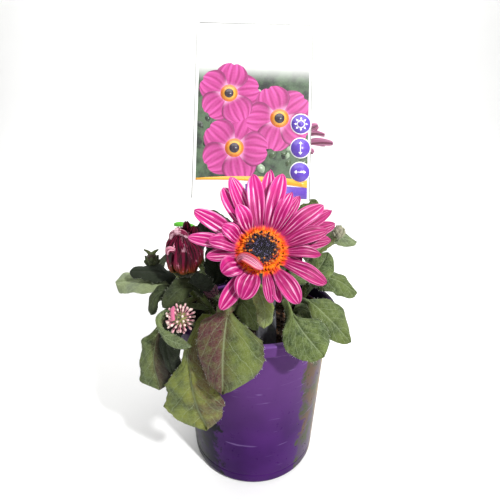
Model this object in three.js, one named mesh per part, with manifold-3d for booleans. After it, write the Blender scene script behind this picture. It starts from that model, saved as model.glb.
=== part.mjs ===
// Potted african daisy: a purple pot of soil with leafy stems, two open blooms, a half-closed one,
// small spent heads, and a label card on a stake. Millimetres, +Z up, front of the pot towards -Y.
// The origin is the centre of the pot's foot.
import * as THREE from 'three';
import Module from 'manifold-3d';
import { mergeVertices } from 'three/addons/utils/BufferGeometryUtils.js';

const wasm = await Module();
wasm.setup();

// Driving dimensions of the pot and its soil
const POT_HEIGHT = 140;
const RIM_RADIUS = 70;
const RIM_BAND = 8.5;
const LIP_WIDTH = 5;
const WALL_TOP_RADIUS = 63.5;
const FOOT_RADIUS = 55;
const FOOT_ROUNDING = 4;
const WALL = 1.8;
const POT_SIDES = 32;
const DRAIN_HOLES = 6;
const DRAIN_RADIUS = 4;
const DRAIN_CIRCLE = 38;
const SOIL_TOP = 127;
const SOIL_LUMP = 1.6;
const SOIL_SIDES = 20;
const SOIL_RINGS = [0.86, 0.66, 0.46, 0.24];
const SOIL_WALL_GAP = 0.6;
const GAP = 0.4;

// Stems and the holes they stand in
const STEM_FOOT = 106;
const STEM_MIDDLE = 118;
const COLLAR = 4;
const STEM_SIDES = 5;
const LEAFY_STEM = 2.2;
const BLOOM_STALK = 2;
const CLOSED_STALK = 1.8;
const HEAD_STALK = 1.5;
const HOLE_CLEARANCE = 1.3;
const HOLE_HEIGHT = 40;

// Leaves and buds
const LEAF_STALK_HALF = 1.5;
const LEAF_THICKNESS = 0.8;
const LEAF_DROOP = 0.18;
const LEAF_WAVE = 1.2;
const LEAF_WAVE_RATE = 15;
const LEAF_PEAK = 0.8;
const LEAF_TIP = 0.88;
const TIP_BLUNTNESS = 0.15;
const LEAST_HALF_WIDTH = 1.2;
const FINE_ROWS = [0, 0.17, 0.36, 0.55, 0.74, 0.91, 1];
const COARSE_ROWS = [0, 0.28, 0.6, 0.88, 1];
const BUD_STALK = 1;
const BUD_STRETCH = 1.35;
const HORN_LENGTH = 6;
const HORN_RADIUS = 2.2;
const HORN_LEAN = 34;

// Blooms
const PETAL_THICKNESS = 0.7;
const PETAL_ROOT = 11;
const PETAL_CUP = 0.22;
const PETAL_BASE = 0.34;
const PETAL_PEAK = 1.35;
const PETAL_ROUNDNESS = 0.5;
const TIER_STEP = 1.15;
const PLATE_RADIUS = 14;
const PLATE_HEIGHT = 2.4;
const DOME_RADIUS = 11.2;
const DOME_HEIGHT = 3.4;
const DOME_EDGE = 1;
const DOME_SIDES = 16;
const DOME_RINGS = 4;
const FLORET_LIFT = 0.9;
const FLORET_LENGTH = 6;
const FLORET_SLANT = 58;
const BRACT_REACH = 1.3;

// Label
const CARD_WIDTH = 87.5;
const CARD_HEIGHT = 134.5;
const CARD_THICKNESS = 0.8;
const CARD_BOTTOM = new THREE.Vector3(-2.8, -16.2, 229.1);
const CARD_CORNER = 2;
const LABEL_LEAN = 19.3;
const CARD_ROLL = 1.5;
const STAKE_HALF = 7.5;
const STAKE_RIDGE = 3;
const STAKE_THICKNESS = 1.5;
const STAKE_ON_CARD = 9.6;
const JAW_THICKNESS = 1.2;
const JAW_WIDTH = 14;
const BACK_JAW = 42;
const FRONT_JAW = 12;
const BRIDGE_HEIGHT = 3.6;
const SLOT_DEPTH = 8;

// Colours of the pieces
const COLOUR = {
  pot: 0x4b2c6b,
  soil: 0x2a1d14,
  card: 0xf4f4f2,
  stake: 0x1c1c1e,
  leaf: 0x6f8458,
  petal: 0xc2107a,
  disc: 0x2b1530,
  stalk: 0x7b8c5a,
  closedPetal: 0x6b0e3c,
  closedStalk: 0x8a8f52,
};

const point = ([x, y, z]) => new THREE.Vector3(x, y, z);
const curveThrough = (points) => new THREE.CatmullRomCurve3(points.map(point), false, 'centripetal');
const radians = THREE.MathUtils.degToRad;

// Even steps from a start to 1
function evenly(count, from = 0) {
  const step = (1 - from) / count;
  return Array.from({ length: count + 1 }, (_, i) => Math.min(1, from + step * i));
}

// Turns a closed geometry into a solid that can be joined and cut.
function solid(geometry) {
  const bare = geometry.clone();
  bare.deleteAttribute('normal');
  bare.deleteAttribute('uv');
  const shared = mergeVertices(bare, 1e-4);
  const vertProperties = Float32Array.from(shared.attributes.position.array);
  const triVerts = Uint32Array.from(shared.index.array);
  return new wasm.Manifold(new wasm.Mesh({ numProp: 3, vertProperties, triVerts }));
}

// Joins solids that grow together. Pockets that they seal between them are filled.
function join(solids) {
  const whole = solids.reduce((sum, next) => sum.add(next));
  const bodies = whole.decompose().sort((a, b) => b.volume() - a.volume());
  return bodies[0];
}

function piece(name, body, colour, roughness) {
  const { vertProperties, triVerts } = body.getMesh();
  const geometry = new THREE.BufferGeometry();
  geometry.setAttribute('position', new THREE.BufferAttribute(vertProperties, 3));
  geometry.setIndex(new THREE.BufferAttribute(triVerts, 1));
  geometry.computeVertexNormals();
  const material = new THREE.MeshStandardMaterial({ color: colour, roughness, metalness: 0 });
  const mesh = new THREE.Mesh(geometry, material);
  mesh.name = name;
  return mesh;
}

// A lathe profile of [radius, height] pairs, turned about Z.
function turned(profile, sides) {
  const geometry = new THREE.LatheGeometry(profile.map(([r, z]) => new THREE.Vector2(r, z)), sides);
  return geometry.rotateX(Math.PI / 2);
}

// A round stem along a list of points.
function tube(points, radius, steps, sides = STEM_SIDES) {
  const centre = new THREE.Vector2();
  const corner = (_, i) => new THREE.Vector2(radius, 0).rotateAround(centre, (2 * Math.PI * i) / sides);
  const section = new THREE.Shape(Array.from({ length: sides }, corner));
  const extrudePath = curveThrough(points);
  return new THREE.ExtrudeGeometry(section, { steps, extrudePath, bevelEnabled: false });
}

// A closed, thin blade along a spine. facing is the side that the blade shows. At u from -1 to 1 across,
// halfWidth(t, u) is its half width on that side and lift(t, u) how far the surface stands off its flat
// section. rowsAt lists the places along the spine where the blade has a row of corners.
function blade({ points, facing, halfWidth, lift, thickness, rowsAt, columns }) {
  const spine = curveThrough(points);
  const rowStart = (i) => i * (columns + 1);
  const shown = [];
  const hidden = [];
  const rows = rowsAt.length - 1;
  for (let i = 0; i <= rows; i += 1) {
    const t = rowsAt[i];
    const along = spine.getTangentAt(t);
    const side = new THREE.Vector3().crossVectors(along, facing).normalize();
    const normal = new THREE.Vector3().crossVectors(side, along);
    for (let j = 0; j <= columns; j += 1) {
      const u = (2 * j) / columns - 1;
      const middle = spine.getPointAt(t).addScaledVector(side, u * halfWidth(t, u));
      middle.addScaledVector(normal, lift(t, u));
      shown.push(middle.clone().addScaledVector(normal, thickness / 2));
      hidden.push(middle.clone().addScaledVector(normal, -thickness / 2));
    }
  }
  const back = shown.length;
  const triangles = [];
  for (let i = 0; i < rows; i += 1) {
    for (let j = 0; j < columns; j += 1) {
      const a = rowStart(i) + j;
      const b = a + 1;
      const d = rowStart(i + 1) + j;
      const c = d + 1;
      triangles.push(a, b, c, a, c, d);
      triangles.push(back + a, back + c, back + b, back + a, back + d, back + c);
    }
  }
  const border = [];
  for (let j = 0; j < columns; j += 1) border.push(j);
  for (let i = 0; i < rows; i += 1) border.push(rowStart(i) + columns);
  for (let j = columns; j > 0; j -= 1) border.push(rowStart(rows) + j);
  for (let i = rows; i > 0; i -= 1) border.push(rowStart(i));
  border.forEach((p, k) => {
    const q = border[(k + 1) % border.length];
    triangles.push(p, back + p, back + q, p, back + q, q);
  });
  const geometry = new THREE.BufferGeometry().setFromPoints([...shown, ...hidden]);
  geometry.setIndex(triangles);
  return geometry;
}

// Pot: one turned wall with a rolled rim band, a flat floor and drain holes
function pot() {
  const shoulder = POT_HEIGHT - RIM_BAND;
  const profile = [
    [0, 0],
    [FOOT_RADIUS - FOOT_ROUNDING, 0],
    [FOOT_RADIUS - 0.3 * FOOT_ROUNDING, 0.3 * FOOT_ROUNDING],
    [FOOT_RADIUS, FOOT_ROUNDING],
    [WALL_TOP_RADIUS, shoulder],
    [RIM_RADIUS - 0.8, shoulder],
    [RIM_RADIUS, shoulder + 1],
    [RIM_RADIUS, POT_HEIGHT - 1],
    [RIM_RADIUS - 1, POT_HEIGHT],
    [RIM_RADIUS - LIP_WIDTH, POT_HEIGHT],
    [WALL_TOP_RADIUS - WALL, shoulder - 4],
    [FOOT_RADIUS - WALL, WALL],
    [0, WALL],
  ];
  let body = solid(turned(profile, POT_SIDES));
  for (let i = 0; i < DRAIN_HOLES; i += 1) {
    const angle = (2 * Math.PI * i) / DRAIN_HOLES;
    const hole = new THREE.CylinderGeometry(DRAIN_RADIUS, DRAIN_RADIUS, 8, 8).rotateX(Math.PI / 2);
    hole.translate(DRAIN_CIRCLE * Math.cos(angle), DRAIN_CIRCLE * Math.sin(angle), 0);
    body = body.subtract(solid(hole));
  }
  return piece('pot', body, COLOUR.pot, 0.28);
}

// Leaves and stems

// A smooth curve through even shares of a margin, read at s from 0 to 1
function alongMargin(s, shares) {
  const last = shares.length - 2;
  const ends = [2 * shares[0] - shares[1], ...shares, 2 * shares[last + 1] - shares[last]];
  const place = s * (last + 1);
  const first = Math.min(Math.floor(place), last);
  const f = place - first;
  const [a, b, c, d] = ends.slice(first, first + 4);
  return b + 0.5 * f * (c - a + f * (2 * a - 5 * b + 4 * c - d + f * (3 * (b - c) + d - a)));
}

// Half width of a leaf: a slim stalk, then a blade. outline lists its width on its plus and minus margins
// from stalk to tip, and without one the blade is an even oval.
function leafWidth({ half, stalk, outline }) {
  return (t, u) => {
    if (t < stalk - 1e-6) return LEAF_STALK_HALF;
    const s = Math.max(0, (t - stalk) / (1 - stalk));
    if (!outline) return Math.max(LEAST_HALF_WIDTH, half * Math.sqrt(Math.sin(Math.PI * s ** LEAF_PEAK)));
    const tip = Math.max(0, (s - LEAF_TIP) / (1 - LEAF_TIP));
    const rounding = Math.sqrt(Math.max(TIP_BLUNTNESS, 1 - tip ** 2));
    const share = alongMargin(s, outline[u > 0 ? 0 : 1]);
    return Math.max(LEAST_HALF_WIDTH, half * share * rounding);
  };
}

// Margins that droop, with a wave that grows towards them
function leafLift(half) {
  return (t, u) => LEAF_WAVE * u * Math.abs(u) * Math.sin(t * LEAF_WAVE_RATE) - half * LEAF_DROOP * u * u;
}

const LEAF_DEFAULTS = { stalk: 0.3, fine: true };

function leaf(stemPoints, sizes) {
  const shape = { ...LEAF_DEFAULTS, ...sizes };
  const root = curveThrough(stemPoints).getPointAt(shape.at);
  const { stalk, fine } = shape;
  const rows = (fine ? FINE_ROWS : COARSE_ROWS).map((s) => stalk + (1 - stalk) * s);
  return solid(blade({
    points: [[root.x, root.y, root.z], ...shape.path],
    facing: point(shape.facing).normalize(),
    halfWidth: leafWidth(shape),
    lift: leafLift(shape.half),
    thickness: LEAF_THICKNESS,
    rowsAt: [0, stalk * 0.55, ...rows],
    columns: fine ? 4 : 2,
  }));
}

// A stem's points: upright in its hole in the soil, then along its path
function rooted([x, y], path) {
  return [[x, y, STEM_FOOT], [x, y, STEM_MIDDLE], [x, y, SOIL_TOP + COLLAR], ...path];
}

// Leafy stems. Each leaf starts inside its stem, at a share of the stem's length.
const LEAFY_STEMS = {
  leafy_stem_left: {
    foot: [-38, -12],
    path: [[-43, -18, 148], [-51, -23, 162], [-58, -27, 171]],
    leaves: [
      { at: 0.93, path: [[-68, -31, 171], [-84, -32, 173], [-104, -30, 170.5]],
        half: 12, facing: [0.1, -0.5, 0.8], fine: false,
        outline: [[0.3, 0.7, 0.95, 1, 0.98, 0.92, 0.8, 0.6],
          [0.3, 0.65, 0.76, 0.8, 0.82, 0.8, 0.7, 0.5]] },
      { at: 0.98, path: [[-66, -31, 178], [-78, -34, 181], [-90, -37, 182]],
        half: 7.4, facing: [0, -0.6, 0.8], fine: false,
        outline: [[0.7, 1, 1, 0.95, 0.85, 0.65, 0.4],
          [0.7, 1, 1, 0.95, 0.85, 0.65, 0.4]] },
      { at: 0.82, path: [[-66, -36, 167], [-73, -42, 163], [-75, -44, 151]],
        half: 6, facing: [-0.4, -0.8, 0.4], fine: false },
      { at: 0.66, path: [[-64, -44, 150], [-69, -52, 140], [-73, -56, 121], [-70, -56, 95.5]],
        half: 14, stalk: 0.46, facing: [-0.35, -0.9, 0.2],
        outline: [[0.3, 0.5, 0.93, 0.94, 1.01, 1.08, 1.18, 1.25, 1.3],
          [0.1, 0.2, 0.44, 0.68, 0.84, 0.87, 0.8, 0.66, 0.5]] },
      { at: 0.5, path: [[-48, -6, 156], [-60, 2, 162], [-76, 4, 154]],
        half: 10, facing: [-0.2, -0.1, 0.9], fine: false },
      { at: 0.4, path: [[-52, -34, 150], [-60, -48, 147], [-62, -58, 134], [-58, -61, 112]],
        half: 12, facing: [-0.4, -0.8, 0.4], fine: false },
    ],
    buds: [
      { at: 0.99, path: [[-68, -26, 178], [-74, -25, 182]], centre: [-77, -24, 186],
        radius: 4.6, horns: 2 },
    ],
  },
  leafy_stem_front_left: {
    foot: [-25, -31],
    path: [[-29, -35, 144], [-35, -38, 158], [-41, -39, 168]],
    leaves: [
      { at: 0.5,
        path: [[-37, -54, 148], [-44, -70, 137], [-44, -72, 120],
          [-41, -73, 97], [-34, -70, 72.5]],
        half: 22, stalk: 0.46, facing: [-0.35, -0.9, 0.25],
        outline: [[0.3, 0.4, 0.78, 1.02, 1.22, 1.3, 1.32, 1.3, 1.35],
          [0.2, 0.36, 0.54, 0.72, 0.98, 0.9, 0.74, 0.56, 0.4]] },
      { at: 0.75,
        path: [[-54, -46, 160], [-66.1, -57, 157.1], [-65.3, -62, 152.2], [-61.9, -67, 149.1],
          [-55.9, -71, 146.6], [-48.5, -75, 146.5], [-41, -79, 147.3]],
        half: 4, stalk: 0.45, facing: [-0.5, -0.3, 0.8],
        outline: [[0.3, 0.3, 0.3, 0.34, 0.5, 0.65, 0.85, 0.83, 0.7],
          [0.3, 0.38, 0.5, 0.75, 1.05, 1.3, 1.15, 0.75, 0.4]] },
      { at: 0.96, path: [[-37, -45, 173], [-37, -50, 179], [-37, -53, 187]],
        half: 8.5, stalk: 0.2, facing: [0, -0.9, 0.3], fine: false },
      { at: 0.9, path: [[-46, -47, 175], [-54, -52, 173], [-63, -56, 163]],
        half: 8, facing: [-0.1, -0.8, 0.6], fine: false },
    ],
  },
  leafy_stem_front: {
    foot: [-8, -32],
    path: [[-10, -36, 146], [-12, -42, 158], [-13, -46, 168]],
    leaves: [
      { at: 0.7, path: [[-16, -56, 164], [-18, -72, 163], [-20, -85, 147], [-21, -86, 117]],
        half: 25, facing: [0.05, -0.95, 0.3],
        outline: [[0.1, 0.4, 0.64, 0.68, 0.65, 0.62, 0.5, 0.38, 0.32],
          [0.1, 0.3, 0.68, 0.96, 1.06, 1.05, 1.0, 0.86, 0.66]] },
      { at: 0.88, path: [[-14, -57, 172], [-20, -67, 167], [-23, -72, 157]],
        half: 6, facing: [-0.2, -0.9, 0.3], fine: false },
      { at: 0.8, path: [[-9, -58, 168], [-4, -64, 164], [2, -67, 152]],
        half: 8, facing: [0.2, -0.9, 0.3], fine: false },
      { at: 0.98, path: [[-9, -60, 175], [0, -66, 182], [6, -72, 172], [6, -74, 157.5]],
        half: 5.8, stalk: 0.42, facing: [0, -0.95, 0.3], fine: false,
        outline: [[0.3, 0.8, 0.95, 1, 1, 0.95, 0.85, 0.7],
          [0.3, 0.7, 0.9, 1, 1, 0.95, 0.9, 0.75]] },
    ],
  },
  leafy_stem_front_right: {
    foot: [26, -28],
    path: [[26, -31, 144], [24, -36, 156], [23, -40, 164]],
    leaves: [
      { at: 0.9, path: [[23, -52, 165], [26, -63, 160], [32, -70, 152], [45, -77, 138]],
        half: 15.5, stalk: 0.42, facing: [0.1, -0.8, 0.6],
        outline: [[0.15, 0.4, 0.74, 0.95, 1.0, 0.95, 0.8, 0.62, 0.5],
          [0.1, 0.3, 0.66, 0.89, 0.99, 1.0, 0.92, 0.8, 0.62]] },
      { at: 0.75, path: [[31, -42, 163], [39, -46, 163], [52, -52, 153], [69, -54, 134.5]],
        half: 13.5, stalk: 0.36, facing: [0.3, -0.7, 0.7],
        outline: [[0.1, 0.4, 0.63, 0.77, 0.84, 0.8, 0.64, 0.45, 0.3],
          [0.1, 0.62, 1.02, 1.14, 1.16, 1.13, 0.98, 0.74, 0.5]] },
      { at: 0.55, path: [[34, -36, 152], [42, -44, 152], [50, -48, 146]],
        half: 7, facing: [0, -0.6, 0.8], fine: false },
    ],
  },
  leafy_stem_right: {
    foot: [38, -8],
    path: [[40, -10, 148], [42, -13, 164], [44, -14, 180]],
    leaves: [
      { at: 0.75, path: [[50, -20, 171], [64, -24, 170], [80, -24, 159]],
        half: 10.5, stalk: 0.12, facing: [0.2, -0.6, 0.8],
        outline: [[0.3, 0.8, 1.02, 1.12, 1.14, 1.06, 0.92, 0.76, 0.6],
          [0.3, 0.5, 0.6, 0.76, 0.84, 0.76, 0.68, 0.54, 0.4]] },
      { at: 0.82, path: [[44, -24, 174], [50, -25, 182], [56, -22, 192]],
        half: 11, stalk: 0.2, facing: [-0.3, -0.8, 0.6] },
      { at: 0.97, path: [[52, -10, 192], [64, -4, 199], [83, -2, 194]],
        half: 7, facing: [0.1, -0.6, 0.8], fine: false,
        outline: [[0.3, 0.7, 0.9, 1, 1, 0.9, 0.6], [0.3, 0.7, 0.9, 1, 0.98, 0.85, 0.55]] },
      { at: 0.55, path: [[52, -2, 160], [64, 4, 162], [78, 6, 149]],
        half: 12, facing: [0.4, 0, 0.9], fine: false },
      { at: 0.88, path: [[41, -24, 176], [35, -31, 177], [27, -35, 174]],
        half: 8, facing: [-0.1, -0.7, 0.7], fine: false },
    ],
    buds: [
      { at: 0.98, path: [[52, -15, 190], [61, -12, 197]], centre: [66, -9, 204],
        radius: 4.2, horns: 0 },
    ],
  },
  leafy_stem_back_right: {
    foot: [26, 20],
    path: [[29, 22, 150], [33, 20, 175], [35, 16, 195]],
    leaves: [
      { at: 0.97, path: [[38, 10, 206], [44, 8, 216], [50, 7, 227]],
        half: 9, facing: [-0.2, -0.9, 0.3], fine: false },
      { at: 0.8, path: [[42, 24, 184], [54, 28, 187], [67, 30, 178]],
        half: 11, facing: [0.2, -0.2, 0.9], fine: false },
      { at: 0.6, path: [[40, 34, 172], [54, 52, 170], [64, 66, 150]],
        half: 14, facing: [0.3, 0.4, 0.8], fine: false },
      { at: 0.45, path: [[32, 40, 158], [36, 62, 156], [38, 80, 132]],
        half: 16, facing: [0.1, 0.7, 0.7], fine: false },
    ],
  },
  leafy_stem_back: {
    foot: [-4, 30],
    path: [[-5, 33, 150], [-6, 36, 172], [-6, 36, 190]],
    leaves: [
      { at: 0.95, path: [[-14, 26, 199], [-24, 18, 206], [-38, 14, 216]],
        half: 10, facing: [-0.1, -0.5, 0.8], fine: false },
      { at: 0.75, path: [[-2, 50, 184], [2, 66, 184], [4, 84, 166]],
        half: 15, facing: [0, 0.4, 0.9], fine: false },
      { at: 0.55, path: [[-12, 48, 164], [-18, 66, 158], [-20, 84, 130]],
        half: 17, facing: [-0.1, 0.8, 0.6] },
      { at: 0.85, path: [[6, 44, 196], [16, 46, 206], [28, 44, 214]],
        half: 9, facing: [0, -0.3, 0.9], fine: false },
      { at: 0.38, path: [[-2, 20, 150], [-1, 8, 158], [2, -4, 156]],
        half: 9, facing: [0, -0.3, 0.9], fine: false },
    ],
  },
  leafy_stem_back_left: {
    foot: [-34, 14],
    path: [[-38, 16, 148], [-44, 16, 168], [-46, 14, 184]],
    leaves: [
      { at: 0.95, path: [[-41, 2, 194], [-36, -8, 202], [-36, -16, 214]],
        half: 12, facing: [0, -0.8, 0.5], fine: false },
      { at: 0.99, path: [[-47, 8, 196], [-50.5, 3, 206], [-56, 1, 208.5], [-64, 0, 208.5]],
        half: 3, facing: [0.2, -0.6, 0.8], fine: false },
      { at: 0.8, path: [[-56, 18, 178], [-73, 18, 178], [-88, 14, 164]],
        half: 12, facing: [-0.2, -0.1, 0.9], fine: false },
      { at: 0.62, path: [[-52, 30, 166], [-66, 44, 162], [-78, 54, 142]],
        half: 14, facing: [-0.4, 0.3, 0.8], fine: false },
      { at: 0.45, path: [[-42, 36, 152], [-48, 56, 148], [-50, 71, 124]],
        half: 14, facing: [-0.3, 0.8, 0.6], fine: false },
      { at: 0.4, path: [[-36, 8, 148], [-31, 4, 166], [-33, 0, 192]],
        half: 11, facing: [0.1, -0.9, 0.3], fine: false },
    ],
  },
};

// A small bud on a thin stalk of its own, with or without two horns
function bud(stemPoints, { at, path, centre, radius, horns }) {
  const root = curveThrough(stemPoints).getPointAt(at).toArray();
  const bodies = [solid(tube([root, ...path, centre], BUD_STALK, 4, 4))];
  const head = new THREE.SphereGeometry(radius, 7, 5).rotateX(Math.PI / 2);
  bodies.push(solid(head.scale(1, 1, BUD_STRETCH).translate(...centre)));
  for (let i = 0; i < horns; i += 1) {
    const horn = new THREE.ConeGeometry(HORN_RADIUS, HORN_LENGTH, 4).rotateX(Math.PI / 2);
    horn.translate(0, 0, radius + 0.37 * HORN_LENGTH);
    bodies.push(solid(horn.rotateY(radians(i === 0 ? -HORN_LEAN : HORN_LEAN)).translate(...centre)));
  }
  return join(bodies);
}

function leafyStem(name, { foot, path, leaves, buds = [] }) {
  const points = rooted(foot, path);
  const bodies = [...leaves.map((one) => leaf(points, one)), ...buds.map((one) => bud(points, one))];
  return piece(name, join([solid(tube(points, LEAFY_STEM, 5)), ...bodies]), COLOUR.leaf, 0.85);
}

// Blooms. A bloom's own frame has its centre on the petal plate, +Z out of its face and +Y up its face.
function faceFrame(centre, normal) {
  const outward = point(normal).normalize();
  const across = new THREE.Vector3().crossVectors(new THREE.Vector3(0, 0, 1), outward).normalize();
  const upward = new THREE.Vector3().crossVectors(outward, across);
  return new THREE.Matrix4().makeBasis(across, upward, outward).setPosition(point(centre));
}

// Petals, anticlockwise from +X: [angle, length, half width, tip height, tier]
const OPEN_PETALS = [
  [11, 43.4, 5, 0, 0], [17, 41.7, 5.5, 5, 1], [22, 49.9, 5, 0, 0], [32, 52.2, 5, 2, 0],
  [37, 48.4, 5.6, 6, 1], [56, 42.8, 4.5, 6, 0], [63, 40.9, 4.2, 9, 1], [75, 51.9, 5.6, 9, 1],
  [84, 56.8, 5, 4, 0], [96, 50.6, 5.5, 8, 1], [111, 54.1, 5.6, 5, 0], [119, 29.8, 5, 12, 1],
  [119, 50.8, 6.4, 2, 0], [147, 50.6, 5.6, 2, 0], [151, 27.3, 5, 9, 1], [168, 46.5, 4.8, 1, 0],
  [171, 32.3, 5, 6, 1], [186, 33.6, 4.8, 2, 0], [213, 27.7, 6.6, 5, 1], [235, 42.2, 5.2, -4, 0],
  [248, 32.1, 7.2, 2, 1], [279, 31.5, 3.5, -2, 1], [288, 32.7, 3.5, -1, 0], [303, 38.2, 5.6, 0, 1],
  [331, 42.5, 4.8, 1, 1], [344, 25, 5.5, 0, 0], [357, 35.7, 4.2, 1, 1],
];
const FOLDED_PETAL = [
  [-12.4, -6, 1.7], [-13.8, -6.6, 4], [-11.2, -6.4, 7.8], [-7.1, -8.7, 9], [-3.1, -11.6, 8.8],
  [0.4, -13.1, 6.4],
];
const FOLDED_HALF = 3.4;
const FOLDED_GAP = [192, 282];
const PETAL_ROWS = [0, 0.3, 0.62, 0.86, 1];

// Half width of a petal: narrow at its root, widest past its middle, with a rounded point
function petalWidth(half) {
  return (t) => {
    const roundEnd = Math.sin(Math.PI * t ** PETAL_PEAK) ** PETAL_ROUNDNESS;
    return Math.max(0.8, half * Math.max(PETAL_BASE * Math.sqrt(1 - t), roundEnd));
  };
}

function petal([angle, length, half, tip, tier]) {
  const low = 0.6 + TIER_STEP * tier;
  const rise = 0.55 * tip + 2.6 * tier + 1;
  const clear = PLATE_RADIUS + 2.5;
  const geometry = blade({
    points: [[PETAL_ROOT, 0, low], [clear, 0, low + 0.1], [(length + clear) / 2, 0, rise], [length, 0, tip]],
    facing: new THREE.Vector3(0, 0, 1),
    halfWidth: petalWidth(half),
    lift: (t, u) => PETAL_CUP * half * u * u * Math.sin(Math.PI * t),
    thickness: PETAL_THICKNESS,
    rowsAt: PETAL_ROWS,
    columns: 2,
  });
  return solid(geometry.rotateZ(radians(angle)));
}

// A petal that bends back over the disc's lower left
function foldedPetal() {
  return solid(blade({
    points: FOLDED_PETAL,
    facing: new THREE.Vector3(0.1, -0.25, 1).normalize(),
    halfWidth: petalWidth(FOLDED_HALF),
    lift: () => 0,
    thickness: PETAL_THICKNESS,
    rowsAt: evenly(7),
    columns: 2,
  }));
}

function petalsOnPlate(petals) {
  const plate = turned([[0, 0], [PLATE_RADIUS, 0], [PLATE_RADIUS, PLATE_HEIGHT], [0, PLATE_HEIGHT]], 16);
  return join([solid(plate), ...petals]);
}

// The disc is a low dome whose floret tips stand up by a formula, with a ring of taller florets at its edge.
// No tall floret stands in the gap, an angle from and to, that a folded petal takes.
function disc(florets, gap) {
  const floor = PLATE_HEIGHT + GAP;
  const arc = evenly(DOME_RINGS).map((share) => (share * Math.PI) / 2);
  const rings = arc.slice(0, DOME_RINGS).map((a) => [
    DOME_RADIUS * Math.cos(a),
    floor + DOME_EDGE + DOME_HEIGHT * Math.sin(a),
  ]);
  const top = [0, floor + DOME_EDGE + DOME_HEIGHT];
  const dome = turned([[0, floor], [DOME_RADIUS, floor], ...rings, top], DOME_SIDES);
  const places = dome.attributes.position;
  for (let i = 0; i < places.count; i += 1) {
    const [x, y, z] = [places.getX(i), places.getY(i), places.getZ(i)];
    const out = Math.hypot(x, y);
    const turn = Math.round((Math.atan2(y, x) / (2 * Math.PI)) * DOME_SIDES);
    const isFloret = z > floor + DOME_EDGE / 2 && out > 0.5 && (turn + Math.round(out)) % 2 === 0;
    if (isFloret) places.setZ(i, z + FLORET_LIFT);
  }
  const bodies = [solid(dome)];
  for (let i = 0; i < florets; i += 1) {
    const angle = (360 * i) / florets;
    const isClear = angle <= gap[0] || angle >= gap[1];
    const floret = new THREE.CylinderGeometry(0.95, 0.7, FLORET_LENGTH, 4).rotateZ(radians(-FLORET_SLANT));
    floret.translate(DOME_RADIUS - 0.1, 0, floor + 2.2 + (i % 2) * FLORET_LIFT);
    if (isClear) bodies.push(solid(floret.rotateZ(radians(angle))));
  }
  return join(bodies);
}

// Green cup of bracts behind the petals: every second edge of the cup stands out as a pointed bract.
function involucre(bracts) {
  const bractHeight = -2.6;
  const profile = [[0, -9], [3, -9], [8.5, -5.5], [10.5, bractHeight], [9.5, -GAP], [0, -GAP]];
  const cup = turned(profile, 2 * bracts);
  const places = cup.attributes.position;
  for (let i = 0; i < places.count; i += 1) {
    const [x, y, z] = [places.getX(i), places.getY(i), places.getZ(i)];
    const edge = Math.round((Math.atan2(y, x) / Math.PI) * bracts);
    const isBract = Math.abs(z - bractHeight) < 0.1 && edge % 2 === 0;
    if (isBract) places.setXY(i, x * BRACT_REACH, y * BRACT_REACH);
  }
  return solid(cup);
}

function alongNormal(centre, normal, distance) {
  const outward = point(normal).normalize();
  return point(centre).addScaledVector(outward, distance).toArray();
}

// Where each bloom sits, which way it faces, and its stalk's foot and path
const FRONT_BLOOM = {
  centre: [4, -70.7, 207.9],
  normal: [0, -0.766, 0.643],
  foot: [-7, -44],
  path: [[-6, -47, 150], [-3, -52, 175], [2, -58, 194]],
};
const BACK_BLOOM = {
  centre: [23, 50, 268],
  normal: [0.05, 0.36, 0.93],
  foot: [10, 14],
  path: [[12, 18, 165], [17, 30, 205], [21, 42, 240]],
};
const CLOSED_BLOOM = {
  centre: [-50, -34, 182],
  normal: [0.03, -0.4, 0.92],
  foot: [-20, -8],
  path: [[-27, -12, 148], [-40, -22, 166]],
};

// A stalk from its hole in the soil to the back of a bloom or head
function stalk({ foot, path, centre, normal }, radius, neck) {
  const ending = [alongNormal(centre, normal, -neck - 3), alongNormal(centre, normal, -neck)];
  return tube([...rooted(foot, path), ...ending], radius, 8);
}

// An open bloom's petals, disc and stalk, each its own piece
function openBloom(prefix, bloom, petals, disc, bracts) {
  const place = faceFrame(bloom.centre, bloom.normal);
  const stem = stalk(bloom, BLOOM_STALK, 6).applyMatrix4(place.clone().invert());
  const green = join([involucre(bracts), solid(stem)]);
  const pieces = [
    piece(`${prefix}_petals`, petals, COLOUR.petal, 0.55),
    piece(`${prefix}_disc`, disc, COLOUR.disc, 0.8),
    piece(`${prefix}_stalk`, green, COLOUR.stalk, 0.8),
  ];
  pieces.forEach((mesh) => mesh.applyMatrix4(place));
  return pieces;
}

// Back bloom: evenly spread petals in two tiers, with small differences that a formula gives
function evenPetals(count, length, half, tip) {
  return Array.from({ length: count }, (_, i) => [
    (360 * i) / count + 4 * Math.sin(i * 2.4),
    length + 3 * Math.sin(i * 1.7),
    half,
    tip + 2.5 * Math.cos(i * 2.1),
    i % 2,
  ]);
}

// Half-closed bloom: overlapping petals folded up round a core, with loose ends: two tips that stand up and
// two that fold over
const CLOSED_TIERS = [
  {
    count: 6,
    half: 6.8,
    turn: 0,
    path: [[3, 0, 1], [10.5, 0, 5.5], [12.6, 0, 15], [9.8, 0, 27], [4.5, 0, 34.5]],
  },
  {
    count: 3,
    half: 6.4,
    turn: 26,
    path: [[3, 0, 2.5], [8, 0, 9], [10.2, 0, 18], [7.8, 0, 29], [2.5, 0, 34.5]],
  },
];
const LOOSE_ENDS = [
  { half: 3, path: [[3.2, 3, 23], [3.4, 3, 30], [3.6, 3, 36], [3.8, 3, 41.4]] },
  { half: 4.4, path: [[6.2, 1, 22.6], [7.7, 1, 29], [8.8, 1, 34], [9.5, 1, 38.8]] },
  { half: 2.7, path: [[-7.5, -3, 29], [-6, -3, 35], [-2, -3.4, 37.6], [2, -3.4, 36], [4.6, -3.6, 31]] },
  { half: 3, path: [[-8.5, -6, 18], [-9, -7.5, 23], [-7.5, -9, 27], [-4, -10, 28]] },
];

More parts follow.
